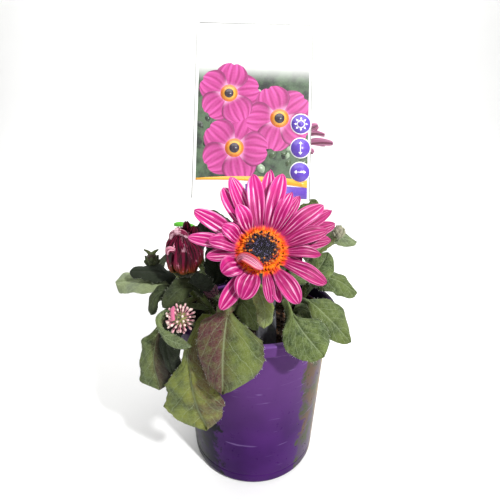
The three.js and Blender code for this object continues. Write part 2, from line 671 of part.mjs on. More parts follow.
function closedPetals() {
  const core = turned([[0, 0.4], [5, 0.6], [6.6, 7], [7, 16], [5, 27], [0, 32]], 6);
  const bodies = [solid(core)];
  const shape = { thickness: PETAL_THICKNESS, columns: 2 };
  for (const { count, half, path, turn } of CLOSED_TIERS) {
    for (let i = 0; i < count; i += 1) {
      const one = blade({
        points: path,
        facing: new THREE.Vector3(-1, 0, 0.15),
        halfWidth: petalWidth(half),
        lift: (t, u) => 0.5 * half * u * u * Math.sin(Math.PI * t),
        rowsAt: evenly(3),
        ...shape,
      });
      bodies.push(solid(one.rotateZ(radians(turn + (360 * i) / count))));
    }
  }
  for (const { half, path } of LOOSE_ENDS) {
    bodies.push(solid(blade({
      points: path,
      facing: new THREE.Vector3(0, -1, 0.3).normalize(),
      halfWidth: petalWidth(half),
      lift: () => 0,
      rowsAt: [0, 0.6, 1],
      ...shape,
    })));
  }
  return join(bodies);
}

function closedBloom() {
  const place = faceFrame(CLOSED_BLOOM.centre, CLOSED_BLOOM.normal);
  const petals = piece('closed_bloom_petals', closedPetals(), COLOUR.closedPetal, 0.55);
  petals.applyMatrix4(place);
  const cup = turned([[0, -6], [2.5, -6], [7, -3], [7.5, -GAP], [0, -GAP]], 10).applyMatrix4(place);
  const green = join([solid(cup), solid(stalk(CLOSED_BLOOM, CLOSED_STALK, 3))]);
  return [petals, piece('closed_bloom_stalk', green, COLOUR.closedStalk, 0.8)];
}

// Spent heads: a ball of club-tipped florets on a stalk. most is the floret count of a full ring.
const SPENT_HEADS = [
  {
    name: 'spent_head_front',
    centre: [-50, -61, 157],
    normal: [-0.1, -0.75, 0.65],
    radius: 4.6,
    spike: 5.2,
    rings: 4,
    most: 8,
    colour: 0xc9a3a8,
    foot: [-37, -36],
    path: [[-41, -44, 142]],
  },
  {
    name: 'spent_head_dark',
    centre: [-31.6, -38, 167.3],
    normal: [0.1, -0.7, 0.7],
    radius: 3,
    spike: 2.2,
    rings: 3,
    most: 6,
    colour: 0x3a2430,
    foot: [-22, -20],
    path: [[-24, -26, 152]],
  },
];

function spentHead(head) {
  const { name, centre, normal, radius, spike, rings, most, colour } = head;
  const place = faceFrame(centre, normal);
  const ball = new THREE.SphereGeometry(radius, 8, 5).rotateX(Math.PI / 2);
  const bodies = [solid(ball)];
  for (let ring = 0; ring < rings; ring += 1) {
    const tilt = 12 + (ring * 92) / rings;
    const count = Math.max(1, Math.round(most * Math.sin(radians(tilt))));
    for (let i = 0; i < count; i += 1) {
      const floret = new THREE.CylinderGeometry(1.1, 0.6, spike + 1.6, 3).rotateX(Math.PI / 2);
      floret.translate(0, 0, radius + spike / 2 - 0.8);
      floret.rotateY(radians(tilt)).rotateZ(radians((360 * (i + 0.37 * ring)) / count));
      bodies.push(solid(floret));
    }
  }
  const florets = piece(name, join(bodies), colour, 0.8);
  florets.applyMatrix4(place);
  const [top, bottom] = [-radius - GAP, -radius - 4];
  const profile = [[0, bottom], [1.8, bottom], [radius * 0.9, top - 0.8], [radius * 0.7, top], [0, top]];
  const cup = turned(profile, 8).applyMatrix4(place);
  const green = join([solid(cup), solid(stalk(head, HEAD_STALK, radius + 2))]);
  return [florets, piece(`${name}_stalk`, green, COLOUR.stalk, 0.85)];
}

// Label: a plastic card held in the slotted head of a black folded stake
const STAKE_FOOT = [9, -49, 88];
const STAKE_PATH = [
  STAKE_FOOT,
  [9, -49, 104],
  [9, -49, 118],
  [9, -47.5, 130],
  [8.6, -41, 150],
  [7.8, -27, 194],
  [7.2, -17.1, 226.4],
];

function cardFrame() {
  const lean = new THREE.Matrix4().makeRotationX(radians(90 - LABEL_LEAN));
  const roll = new THREE.Matrix4().makeRotationZ(radians(-CARD_ROLL));
  return new THREE.Matrix4().setPosition(CARD_BOTTOM).multiply(lean).multiply(roll);
}

function roundedPlate(width, height, corner, depth) {
  const outline = new THREE.Shape();
  const x = width / 2 - corner;
  outline.absarc(x, corner, corner, -Math.PI / 2, 0);
  outline.absarc(x, height - corner, corner, 0, Math.PI / 2);
  outline.absarc(-x, height - corner, corner, Math.PI / 2, Math.PI);
  outline.absarc(-x, corner, corner, Math.PI, 1.5 * Math.PI);
  return new THREE.ExtrudeGeometry(outline, { depth, bevelEnabled: false, curveSegments: 3 });
}

function labelCard() {
  const plate = roundedPlate(CARD_WIDTH, CARD_HEIGHT, CARD_CORNER, CARD_THICKNESS);
  const card = piece('label_card', solid(plate.translate(0, 0, -CARD_THICKNESS / 2)), COLOUR.card, 0.35);
  card.applyMatrix4(cardFrame());
  return card;
}

function labelStake() {
  const spike = blade({
    points: STAKE_PATH,
    facing: new THREE.Vector3(0, -0.95, 0.3),
    halfWidth: (t) => Math.max(1.2, STAKE_HALF * Math.min(1, 0.15 + t * 4.2)),
    lift: (t, u) => STAKE_RIDGE * (0.5 - Math.abs(u)) * Math.min(1, t * 5) * Math.min(1, (1 - t) * 8),
    thickness: STAKE_THICKNESS,
    rowsAt: evenly(8),
    columns: 4,
  });
  const offset = CARD_THICKNESS / 2 + GAP + JAW_THICKNESS / 2;
  const depth = 2 * offset + JAW_THICKNESS;
  const bottom = -GAP - BRIDGE_HEIGHT;
  const block = (height, thickness, z) => {
    const box = new THREE.BoxGeometry(JAW_WIDTH, height, thickness);
    return solid(box.translate(STAKE_ON_CARD, bottom + height / 2, z).applyMatrix4(cardFrame()));
  };
  const head = [
    block(BACK_JAW, JAW_THICKNESS, -offset),
    block(FRONT_JAW, JAW_THICKNESS, offset),
    block(BRIDGE_HEIGHT, depth, 0),
  ];
  return piece('label_stake', join([solid(spike), ...head]), COLOUR.stake, 0.3);
}

// Soil: a lumpy-topped fill with plain holes for every stem and a slot for the stake
function lump(x, y) {
  const broad = Math.sin(x * 0.23 + 1) * Math.cos(y * 0.29);
  const small = 0.5 * Math.sin((x + y) * 0.61);
  return SOIL_LUMP * (broad + small);
}

// The pot's inner radius at a height, less the soil's gap to the wall
function soilRadius(z) {
  const shoulder = POT_HEIGHT - RIM_BAND - 4;
  const share = (z - FOOT_ROUNDING) / (shoulder - FOOT_ROUNDING);
  return FOOT_RADIUS - WALL - SOIL_WALL_GAP + share * (WALL_TOP_RADIUS - FOOT_RADIUS);
}

function soil() {
  const bottom = WALL + GAP;
  const edge = [soilRadius(SOIL_TOP - 2), SOIL_TOP - 2];
  const rings = SOIL_RINGS.map((share) => [edge[0] * share, SOIL_TOP]);
  const foot = [[0, bottom], [FOOT_RADIUS - WALL - 3, bottom], [soilRadius(5), 5]];
  const profile = [...foot, edge, ...rings, [0, SOIL_TOP]];
  const fill = turned(profile, SOIL_SIDES);
  const places = fill.attributes.position;
  for (let i = 0; i < places.count; i += 1) {
    const [x, y, z] = [places.getX(i), places.getY(i), places.getZ(i)];
    const isOnTop = z > SOIL_TOP - 0.5 && Math.hypot(x, y) > 0.1;
    if (isOnTop) places.setZ(i, z + lump(x, y));
  }
  let body = solid(fill);
  for (const [[x, y], radius] of STEM_FEET) {
    const width = radius + HOLE_CLEARANCE;
    const hole = new THREE.CylinderGeometry(width, width, HOLE_HEIGHT, 6).rotateX(Math.PI / 2);
    body = body.subtract(solid(hole.translate(x, y, STEM_FOOT - GAP + HOLE_HEIGHT / 2)));
  }
  const [slotX, slotY, slotFoot] = STAKE_FOOT;
  const slotHeight = POT_HEIGHT - slotFoot;
  const slot = new THREE.BoxGeometry(2 * STAKE_HALF + 2, SLOT_DEPTH, slotHeight);
  slot.translate(slotX, slotY + 0.5, slotFoot - 1 + slotHeight / 2);
  return piece('soil', body.subtract(solid(slot)), COLOUR.soil, 0.95);
}

const STEM_FEET = [
  ...Object.values(LEAFY_STEMS).map(({ foot }) => [foot, LEAFY_STEM]),
  ...[FRONT_BLOOM, BACK_BLOOM].map(({ foot }) => [foot, BLOOM_STALK]),
  [CLOSED_BLOOM.foot, CLOSED_STALK],
  ...SPENT_HEADS.map(({ foot }) => [foot, HEAD_STALK]),
];

const frontPetals = petalsOnPlate([...OPEN_PETALS.map(petal), foldedPetal()]);
const backPetals = petalsOnPlate(evenPetals(16, 44, 7, 4).map(petal));

const plant = new THREE.Group();
plant.add(pot(), soil(), labelCard(), labelStake());
for (const [name, stem] of Object.entries(LEAFY_STEMS)) plant.add(leafyStem(name, stem));
plant.add(...openBloom('front_bloom', FRONT_BLOOM, frontPetals, disc(16, FOLDED_GAP), 10));
plant.add(...openBloom('back_bloom', BACK_BLOOM, backPetals, disc(10, [360, 360]), 8));
plant.add(...closedBloom());
for (const head of SPENT_HEADS) plant.add(...spentHead(head));

export default plant;
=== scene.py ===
"""Potted african daisy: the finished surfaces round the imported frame.

Sizes in the tables are millimetres, as in the part, and each piece is scaled to metres when it is made.
+Z is up and the front faces -Y.
"""
import math

import bpy
import numpy as np
from mathutils import Matrix, Vector


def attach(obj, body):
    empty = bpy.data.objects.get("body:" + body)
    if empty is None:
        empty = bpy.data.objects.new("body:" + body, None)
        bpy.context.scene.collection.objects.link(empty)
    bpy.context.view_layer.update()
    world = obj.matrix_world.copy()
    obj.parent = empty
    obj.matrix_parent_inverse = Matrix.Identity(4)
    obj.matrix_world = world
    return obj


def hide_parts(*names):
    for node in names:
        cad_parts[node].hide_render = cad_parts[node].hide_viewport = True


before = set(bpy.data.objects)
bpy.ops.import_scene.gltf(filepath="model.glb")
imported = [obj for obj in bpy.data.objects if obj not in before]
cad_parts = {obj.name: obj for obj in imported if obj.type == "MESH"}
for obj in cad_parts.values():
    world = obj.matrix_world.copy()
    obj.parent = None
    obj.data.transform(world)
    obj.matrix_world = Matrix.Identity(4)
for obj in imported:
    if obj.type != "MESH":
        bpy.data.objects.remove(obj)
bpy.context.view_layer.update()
MM = 0.001

# Driving dimensions, as in the part: millimetres, degrees and shares
POT_HEIGHT = 140
RIM_RADIUS = 70
RIM_BAND = 8.5
LIP_WIDTH = 5
WALL_TOP_RADIUS = 63.5
FOOT_RADIUS = 55
FOOT_ROUNDING = 4
WALL = 1.8
DRAIN_HOLES = 6
DRAIN_RADIUS = 4
DRAIN_CIRCLE = 38
SOIL_TOP = 127
SOIL_LUMP = 1.6
SOIL_WALL_GAP = 0.6
STEM_FOOT = 106
STEM_MIDDLE = 118
COLLAR = 4
LEAFY_STEM = 2.2
BLOOM_STALK = 2
CLOSED_STALK = 1.8
HEAD_STALK = 1.5
PETAL_ROOT = 11
PETAL_CUP = 0.22
TIER_STEP = 1.15
PLATE_RADIUS = 14
PLATE_HEIGHT = 2.4
DISC_FLOOR = 2.8
DOME_RADIUS = 11.2
DOME_HEIGHT = 3.2
CARD_WIDTH = 87.5
CARD_HEIGHT = 134.5
CARD_THICKNESS = 0.8
CARD_BOTTOM = (-2.8, -16.2, 229.1)
LABEL_LEAN = 19.3
CARD_ROLL = 1.5

rng = np.random.default_rng(11)


# Curves and surfaces

def unit(vectors):
    return vectors / np.linalg.norm(vectors, axis=-1, keepdims=True)


def smooth(x, low, high):
    """0 up to low, 1 from high on, with a soft step between them."""
    share = np.clip((x - low) / (high - low), 0, 1)
    return share * share * (3 - 2 * share)


class Spine:
    """A centripetal Catmull-Rom curve, read by the share of its length."""

    def __init__(self, points):
        p = np.array(points, float)
        self.p = np.vstack([2 * p[0] - p[1], p, 2 * p[-1] - p[-2]])
        self.steps = np.linspace(0, 1, 201)
        lengths = np.linalg.norm(np.diff(self.raw(self.steps), axis=0), axis=1)
        self.lengths = np.concatenate([[0], np.cumsum(lengths)])

    def raw(self, t):
        place = np.clip(t, 0, 1) * (len(self.p) - 3)
        i = np.minimum(place.astype(int), len(self.p) - 4)
        w = (place - i)[:, None]
        p0, p1, p2, p3 = (self.p[i + k] for k in range(4))
        spans = ((p0, p1), (p1, p2), (p2, p3))
        d0, d1, d2 = (np.sqrt(np.linalg.norm(b - a, axis=1))[:, None] for a, b in spans)
        leave = ((p1 - p0) / d0 - (p2 - p0) / (d0 + d1) + (p2 - p1) / d1) * d1
        arrive = ((p2 - p1) / d1 - (p3 - p1) / (d1 + d2) + (p3 - p2) / d2) * d1
        bend = -3 * p1 + 3 * p2 - 2 * leave - arrive
        twist = 2 * p1 - 2 * p2 + leave + arrive
        return p1 + w * (leave + w * (bend + w * twist))

    def share(self, u):
        return np.interp(np.asarray(u, float) * self.lengths[-1], self.lengths, self.steps)

    def at(self, u):
        return self.raw(self.share(np.atleast_1d(u)))

    def along(self, u):
        t = self.share(np.atleast_1d(u))
        return unit(self.raw(t + 1e-4) - self.raw(t - 1e-4))


def grid_faces(rows, columns, closed=False):
    """Quads of a grid of corners, row by row. A closed grid joins its last column to its first."""
    width = columns if closed else columns + 1
    i, j = np.meshgrid(np.arange(rows), np.arange(columns), indexing="ij")
    a = i * width + j
    b = i * width + (j + 1) % width
    return np.stack([a, b, b + width, a + width], axis=-1).reshape(-1, 4)


def at_corners(size, t, u):
    """A size of a blade at each of its corners. It is a number or a function of t and u."""
    return size(t, u) if callable(size) else np.full(t.shape, float(size))


def blade(points, facing, half, lift, thickness, rows, columns):
    """A thin closed blade along a spine.

    half, lift and thickness are numbers or functions of t and u. It gives the corners and faces, and at each
    corner t along, u across and 1 on the hidden side.
    """
    spine = Spine(points)
    shares = np.linspace(0, 1, rows + 1)
    t, u = np.meshgrid(shares, np.linspace(-1, 1, columns + 1), indexing="ij")
    along = spine.along(shares)
    side = unit(np.cross(along, np.array(facing, float)))
    normal = np.cross(side, along)
    middle = spine.at(shares)[:, None] + side[:, None] * (u * at_corners(half, t, u))[..., None]
    middle = middle + normal[:, None] * at_corners(lift, t, u)[..., None]
    offset = normal[:, None] * (at_corners(thickness, t, u) / 2)[..., None]
    corners = np.concatenate([(middle + offset).reshape(-1, 3), (middle - offset).reshape(-1, 3)])
    shown = grid_faces(rows, columns)
    back = (rows + 1) * (columns + 1)
    first = np.arange(columns)
    right = np.arange(rows) * (columns + 1) + columns
    last = rows * (columns + 1) + np.arange(columns, 0, -1)
    left = np.arange(rows, 0, -1) * (columns + 1)
    p = np.concatenate([first, right, last, left])
    q = np.roll(p, -1)
    border = np.stack([p, p + back, q + back, q], axis=-1)
    hidden = shown[:, ::-1] + back
    faces = np.concatenate([shown, hidden, border])
    return corners, faces, np.tile(t.ravel(), 2), np.tile(u.ravel(), 2), np.repeat([0.0, 1.0], back)


def tube(points, radius, rows, sides):
    """A round stem with closed ends: its corners, its faces and t along. radius is a function of t."""
    spine = Spine(points)
    shares = np.linspace(0, 1, rows + 1)
    along = spine.along(shares)
    side = unit(np.cross(along, (0.0, 1.0, 0.0)))
    normal = np.cross(side, along)
    turn = np.linspace(0, 2 * np.pi, sides, endpoint=False)
    ring = side[:, None] * np.cos(turn)[None, :, None] + normal[:, None] * np.sin(turn)[None, :, None]
    corners = spine.at(shares)[:, None] + ring * np.broadcast_to(radius(shares), shares.shape)[:, None, None]
    ends = np.stack([spine.at([0.0])[0], spine.at([1.0])[0]])
    faces = grid_faces(rows, sides, closed=True)[:, ::-1]
    return cap(corners.reshape(-1, 3), faces, ends, sides, np.repeat(shares, sides))


def cap(corners, faces, ends, sides, t):
    """Closes both ends of a ringed surface with fans of triangles."""
    count = len(corners)
    j = np.arange(sides)
    k = (j + 1) % sides
    first = np.stack([np.full(sides, count), j, k], axis=-1)
    last = np.stack([np.full(sides, count + 1), count - sides + k, count - sides + j], axis=-1)
    fans = [row.tolist() for row in np.concatenate([first, last])]
    return np.vstack([corners, ends]), faces.tolist() + fans, np.concatenate([t, [0.0, 1.0]])


def turned(profile, sides):
    """A closed profile of (radius, height) from axis to axis, turned about Z."""
    inner = np.array(profile[1:-1], float)
    turn = np.linspace(0, 2 * np.pi, sides, endpoint=False)
    x = inner[:, :1] * np.cos(turn)
    y = inner[:, :1] * np.sin(turn)
    z = np.repeat(inner[:, 1:], sides, axis=1)
    corners = np.stack([x, y, z], axis=-1).reshape(-1, 3)
    ends = np.array([[0, 0, profile[0][1]], [0, 0, profile[-1][1]]], float)
    faces = grid_faces(len(inner) - 1, sides, closed=True)
    return cap(corners, faces, ends, sides, np.repeat(np.linspace(0, 1, len(inner)), sides))


def face_frame(centre, normal):
    """The frame of a bloom: its centre, +Z out of its face and +Y up its face."""
    outward = Vector(normal).normalized()
    across = Vector((0, 0, 1)).cross(outward).normalized()
    upward = outward.cross(across)
    basis = Matrix((across, upward, outward)).transposed().to_4x4()
    return Matrix.Translation(centre) @ basis


def placed(corners, matrix):
    m = np.array(matrix)
    return corners @ m[:3, :3].T + m[:3, 3]


def rotation_y(angle):
    return Matrix.Rotation(math.radians(angle), 4, "Y")


def rotation_z(angle):
    return Matrix.Rotation(math.radians(angle), 4, "Z")


class Piece:
    """One object of the scene, gathered from patches.

    Each corner keeps a blade vector and a look colour, which its material reads.
    """

    def __init__(self, name):
        self.name = name
        self.corners, self.faces, self.blade, self.look = [], [], [], []
        self.count = 0

    def add(self, corners, faces, blade=(0, 0, 0), look=(0, 0, 0, 0)):
        faces = faces.tolist() if isinstance(faces, np.ndarray) else faces
        self.corners.append(corners)
        self.faces += [[k + self.count for k in face] for face in faces]
        number = len(corners)
        self.blade.append(np.stack([np.broadcast_to(v, number) for v in blade], axis=-1))
        self.look.append(np.stack([np.broadcast_to(v, number) for v in look], axis=-1))
        self.count += number

    def add_turned(self, profile, sides, place, blade, look):
        corners, faces, _ = turned(profile, sides)
        self.add(placed(corners, place), faces, blade, look)

    def make(self, material, slot, *nodes):
        mesh = bpy.data.meshes.new(self.name)
        mesh.from_pydata((np.concatenate(self.corners) * MM).tolist(), [], self.faces)
        for name, kind, field, values in (
            ("blade", "FLOAT_VECTOR", "vector", self.blade),
            ("look", "FLOAT_COLOR", "color", self.look),
        ):
            attribute = mesh.attributes.new(name, kind, "POINT")
            attribute.data.foreach_set(field, np.concatenate(values).astype(np.float32).ravel())
        mesh.polygons.foreach_set("use_smooth", [True] * len(mesh.polygons))
        mesh.materials.append(material)
        thing = bpy.data.objects.new(self.name, mesh)
        bpy.context.scene.collection.objects.link(thing)
        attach(thing, "root")
        if nodes:
            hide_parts(*nodes)
        return thing


# Materials

STRIPES = 2.1


def ink(code):
    """A colour from its hexadecimal code, in linear light."""
    parts = [int(code[i:i + 2], 16) / 255 for i in (1, 3, 5)]
    return [c / 12.92 if c <= 0.04045 else ((c + 0.055) / 1.055) ** 2.4 for c in parts] + [1]


class Value:
    """An output of a material's node, which takes part in plain sums and mixes."""

    def __init__(self, paint, socket):
        self.paint, self.socket = paint, socket

    def __add__(self, other):
        return self.paint.math("ADD", self, other)

    def __sub__(self, other):
        return self.paint.math("SUBTRACT", self, other)

    def __rsub__(self, other):
        return self.paint.math("SUBTRACT", other, self)

    def __mul__(self, other):
        return self.paint.math("MULTIPLY", self, other)

    def __abs__(self):
        return self.paint.math("ABSOLUTE", self)

    def most(self, other):
        return self.paint.math("MAXIMUM", self, other)

    def least(self, other):
        return self.paint.math("MINIMUM", self, other)

    def from_whole(self):
        """Distance to the nearest whole number, 0 to 0.5."""
        return self.paint.math("PINGPONG", self, 0.5)

    def step(self, low, high):
        """0 at low, 1 at high, with a soft step between them."""
        inputs = {"Value": self, "From Min": low, "From Max": high}
        return self.paint.node("MapRange", inputs, interpolation_type="SMOOTHSTEP")

    def mix(self, a, b):
        """Colour a where this share is 0, and b where it is 1."""
        return self.paint.node("Mix", {0: self, 6: a, 7: b}, output=2, data_type="RGBA", blend_type="MIX")


class Paint:
    """A material whose nodes are made by short calls. An input is a number, tuple, colour code or Value."""

    def __init__(self, name, roughness, **sockets):
        self.material = bpy.data.materials.new(name)
        self.material.use_nodes = True
        self.tree = self.material.node_tree
        self.shader = self.tree.nodes["Principled BSDF"]
        for socket, value in {"Roughness": roughness, **sockets}.items():
            self.put(self.shader.inputs[socket.replace("_", " ")], value)

    def node(self, kind, inputs, output=0, **settings):
        node = self.tree.nodes.new("ShaderNode" + kind)
        for key, value in settings.items():
            setattr(node, key, value)
        for key, value in inputs.items():
            self.put(node.inputs[key], value)
        return Value(self, node.outputs[output])

    def put(self, socket, value):
        if isinstance(value, Value):
            self.tree.links.new(value.socket, socket)
        else:
            socket.default_value = ink(value) if isinstance(value, str) else value

    def math(self, operation, a, b=0.0):
        return self.node("Math", {0: a, 1: b}, operation=operation)

    def attribute(self, name, output):
        return self.node("Attribute", {}, output, attribute_name=name)

    def parts(self, vector):
        first = self.node("SeparateXYZ", {0: vector})
        return [Value(self, output) for output in first.socket.node.outputs]

    def blade(self):
        return self.parts(self.attribute("blade", "Vector"))

    def look(self):
        return self.parts(self.attribute("look", "Color"))

    def combine(self, x, y, z):
        return self.node("CombineXYZ", {0: x, 1: y, 2: z})

    def place(self):
        return self.node("TexCoord", {}, output="Object")

    def stretched(self, share):
        """The place with its height scaled, for grain that runs round or along Z."""
        return self.node("Mapping", {"Vector": self.place(), "Scale": (1, 1, share)})

    def noise(self, scale, detail=3.0, vector=None, roughness=0.5):
        inputs = {"Vector": vector or self.place(), "Scale": scale, "Detail": detail, "Roughness": roughness}
        return self.node("TexNoise", inputs)

    def cells(self, scale, feature="F1"):
        return self.node("TexVoronoi", {"Vector": self.place(), "Scale": scale}, feature=feature)

    def colour(self, value):
        self.put(self.shader.inputs["Base Color"], value)

    def bump(self, height, depth, strength):
        """Adds a bump of that depth in millimetres, over any made before."""
        inputs = {"Height": height, "Distance": depth * MM, "Strength": strength}
        links = self.shader.inputs["Normal"].links
        if links:
            inputs["Normal"] = Value(self, links[0].from_socket)
        self.put(self.shader.inputs["Normal"], self.node("Bump", inputs))


def grained_paint(name, roughness, scale, dark, light, depth=0, strength=0, **sockets):
    """A plain material with a fine grain between two near colours."""
    paint = Paint(name, roughness, **sockets)
    grain = paint.noise(scale)
    paint.colour(grain.mix(dark, light))
    if depth:
        paint.bump(grain, depth, strength)
    return paint.material


def leaf_paint():
    """Felty leaf: blade is u across and vein number; look is purple, yellow, underside and painted shade."""
    paint = Paint("leaf_felt", 0.8, Sheen_Weight=0.05, Sheen_Roughness=0.4, Specular_IOR_Level=0.25)
    across, vein, _ = paint.blade()
    purple, yellow, under = paint.look()
    shade = paint.attribute("look", "Alpha")
    broad = paint.noise(70, 4.0, roughness=0.6)
    mottle = paint.noise(330, 5.0, roughness=0.75)
    fuzz = paint.noise(2200, roughness=0.7)
    green = broad.step(0.36, 0.64).mix("#2E3E1F", "#566733")
    green = (mottle.step(0.42, 0.64) * 0.6).mix(green, "#697B49")
    green = (broad.step(0.25, 0.7) * yellow).mix(green, "#818B33")
    wander = (broad - 0.5) * 0.5
    side_vein = 1 - (vein + wander).from_whole().step(0.008, 0.04)
    mid_vein = 1 - abs(across).step(0.01, 0.045)
    veins = mid_vein.most(side_vein * 0.8)
    branch = 1 - (vein * 3 + across * 5 + wander).from_whole().step(0.02, 0.1)
    net = 1 - paint.cells(480, "DISTANCE_TO_EDGE").step(0, 0.1)
    blotch = paint.noise(85, 6.0, roughness=0.75).step(0.36, 0.58)
    blush = purple * (blotch * 0.55 + purple * 0.5)
    green = blush.least(1).mix(green, "#5A2630")
    freckles = 1 - paint.cells(300).step(0.12, 0.28)
    green = (freckles * purple * 0.8).mix(green, "#3A1520")
    green = (net * 0.2).mix(green, "#8C9B70")
    green = (branch * 0.16).mix(green, "#94A578")
    green = (veins * 0.5).mix(green, "#A3B088")
    felt = fuzz.step(0.5, 0.72) * mottle.step(0.35, 0.65) * 0.42
    green = felt.mix(green, "#B3BCA4")
    green = (fuzz.step(0.45, 0.3) * 0.35).mix(green, "#26331D")
    green = (under * 0.5).mix(green, "#93A181")
    green = yellow.step(1.05, 1.3).mix(green, "#52B024")
    # Painted shade: a leaf that lies in shadow is darkened towards near black
    green = shade.mix(green, "#0E140F")
    # Painted light: a shade below 0 lightens the leaf, as where light falls on it
    paint.colour((shade * -1).mix(green, "#C4CCB2"))
    paint.bump(mottle + fuzz * 0.4, 0.9, 0.8)
    paint.bump(veins * 0.4 - net * 0.5, 0.5, 0.6)
    return paint.material


def petal_paint():
    """Striped petal: blade is u across, distance from the centre and seed; look is t, underside and painted
    light.

    A painted light share above 1 gives the pale back of a folded petal, and below 1 it brightens the petal
    where light falls.
    """
    paint = Paint("petal_magenta", 0.45, Specular_IOR_Level=0.25, Subsurface_Weight=0.05,
                  Subsurface_Radius=(0.003, 0.0008, 0.0015))
    across, distance, seed = paint.blade()
    along, under, painted_light_and_fold = paint.look()
    side = abs(across)
    thread = paint.noise(1.6, 3.0, paint.combine(across * 3.6, along * 1.3, seed * 30))
    fine = paint.noise(1.0, 3.0, paint.combine(across * 16, along * 2, seed))
    broken = paint.noise(1.0, 2.0, paint.combine(across * 2.2, along * 2.6, seed * 50))
    turns = (seed * 0.5 + 0.75) * (2 * math.pi * STRIPES)
    drift = (thread - 0.5) * 5 + (seed - 0.5) * 1.6
    wave = paint.math("COSINE", across * turns + drift) + (broken - 0.5) * 1.8
    halo = wave.step(0.2, -0.9)
    stripe = wave.step(-0.7, -0.98)
    body = fine.step(0.38, 0.62).mix("#6C0239", "#A80C62")
    # Painted light: the petal's body is brighter where its painted light share is high
    body = (along.step(0.2, 0.9) * painted_light_and_fold * 0.85).mix(body, "#D42288")
    # The pale streaks are the petal's own pattern; how strongly they show follows the painted light, and the
    # broad halo round them is painted sheen
    soft = along.step(0.14, 0.4) * side.step(1, 0.85) * (painted_light_and_fold * 0.6 + 0.3)
    body = (halo * soft * fine.step(0.3, 0.6)).mix(body, "#E664B0")
    bright = stripe * soft * thread.step(0.64, 0.4) * 0.95
    body = bright.least(1).mix(body, "#F6CFE2")
    edge = side.step(0.88, 0.99) * along.step(0.25, 0.6) * 0.5
    body = edge.mix(body, "#F08CC6")
    # Painted shade along the middle crease of the petal
    crease = side.step(0.05, 0.01) * 0.5
    body = crease.mix(body, "#5E043B")
    ragged = distance + (fine - 0.5) * 7
    flame = ragged.step(14.5, 11.5).mix("#E03A06", "#FA860C")
    flame = (side.step(0.35, 0.85) * 0.4).mix(flame, "#FFA21E")
    body = ragged.step(17, 15).mix(body, flame)
    pale = fine.step(0.38, 0.66).mix("#B04474", "#EDB8C2")
    pale = side.step(0.4, 0.85).mix(pale, "#B8321E")
    pale = (stripe * 0.5).mix(pale, "#B02A66")
    body = painted_light_and_fold.step(1, 1.2).mix(body, pale)
    back = side.step(0.55, 0.15).mix("#C77FA6", "#5A1134")
    back = (halo * 0.3).mix(back, "#E9C3D8")
    paint.colour((under * 0.8).mix(body, back))
    paint.bump(fine, 0.5, 0.6)
    paint.bump(paint.noise(1500, 2.0), 0.08, 0.4)
    return paint.material


def closed_paint():
    """Furled petal, dark, with pale patches and rims that are partly its own pale streaks and partly painted
    highlight, and an olive and red foot.

    blade is u across, a spare value and seed. look is t, a spare value and the share of painted highlight. A
    share above 1 gives a crumpled pale fold.
    """
    paint = Paint("petal_furled", 0.45, Specular_IOR_Level=0.15)
    across, _, seed = paint.blade()
    along, _, painted_light_and_fold = paint.look()
    slant = across + (seed - 0.5) * along * 1.6
    thread = paint.noise(1.7, 5.0, paint.combine(slant * 3.2, along * 1.4, seed * 30), 0.65)
    patch = paint.noise(1.5, 3.0, paint.combine(across, along * 3, seed * 20))
    body = thread.step(0.42, 0.62).mix("#1A0109", "#82083A")
    # Painted highlight: brighter patches, pale streaks and pale rims, scaled by the petal's share of painted
    # highlight; the pale streaks are partly the petal's own
    body = (patch.step(0.52, 0.68) * painted_light_and_fold * 0.8).mix(body, "#B01C58")
    light = patch.step(0.56, 0.61) * thread.step(0.5, 0.54) * painted_light_and_fold * 1.3
    rim = abs(across).step(0.88, 0.98) * patch.step(0.46, 0.58) * painted_light_and_fold
    body = light.most(rim).least(1).mix(body, "#F2B4C8")
    crinkle = paint.noise(110, 4.0, roughness=0.65)
    body = painted_light_and_fold.step(1, 1.2).mix(body, crinkle.step(0.46, 0.56).mix("#6A1236", "#F3C9D6"))
    strand = thread.step(0.4, 0.6)
    low = along + (thread - 0.5) * 0.6
    body = (low.step(0.6, 0.3) * 0.9).mix(body, strand.mix("#4A0A0E", "#9A4620"))
    paint.colour(low.step(0.36, 0.14).mix(body, strand.mix("#4A3A0D", "#8E7430")))
    paint.bump(thread, 0.9, 0.7)
    return paint.material


def stalk_paint():
    """Hairy stalk: blade's second value is the share along it, and look's first is its purple."""
    paint = Paint("stalk_skin", 0.7, Sheen_Weight=0.3, Specular_IOR_Level=0.3)
    _, along, _ = paint.blade()
    purple, _, _ = paint.look()
    ribs = paint.noise(900, 2.0, paint.stretched(0.08))
    green = ribs.step(0.35, 0.65).mix("#5E7144", "#93A46D")
    green = (purple * paint.noise(160).step(0.35, 0.65)).mix(green, "#5C2F3A")
    paint.colour(along.step(0.25, 0.05).mix(green, "#8F8F5C"))
    paint.bump(ribs, 0.4, 0.6)
    return paint.material


def floret_paint():
    """Disc florets: look is orange, tip light, pink and flame."""
    paint = Paint("floret_velvet", 0.7, Sheen_Weight=0.1, Specular_IOR_Level=0.3)
    orange, light, pink = paint.look()
    grain = paint.noise(2200, 2.0)
    body = grain.step(0.35, 0.7).mix("#0B050E", "#20112A")
    body = (light * 0.9).mix(body, "#7E74A6")
    body = (pink * 0.6).mix(body, "#5E1A30")
    flame = grain.step(0.35, 0.65).mix("#B81E06", "#F0660C")
    body = paint.attribute("look", "Alpha").mix(body, flame)
    pollen = grain.step(0.4, 0.6).mix("#E06000", "#FFA824")
    paint.colour(orange.mix(body, pollen))
    paint.bump(grain, 0.12, 0.6)
    return paint.material


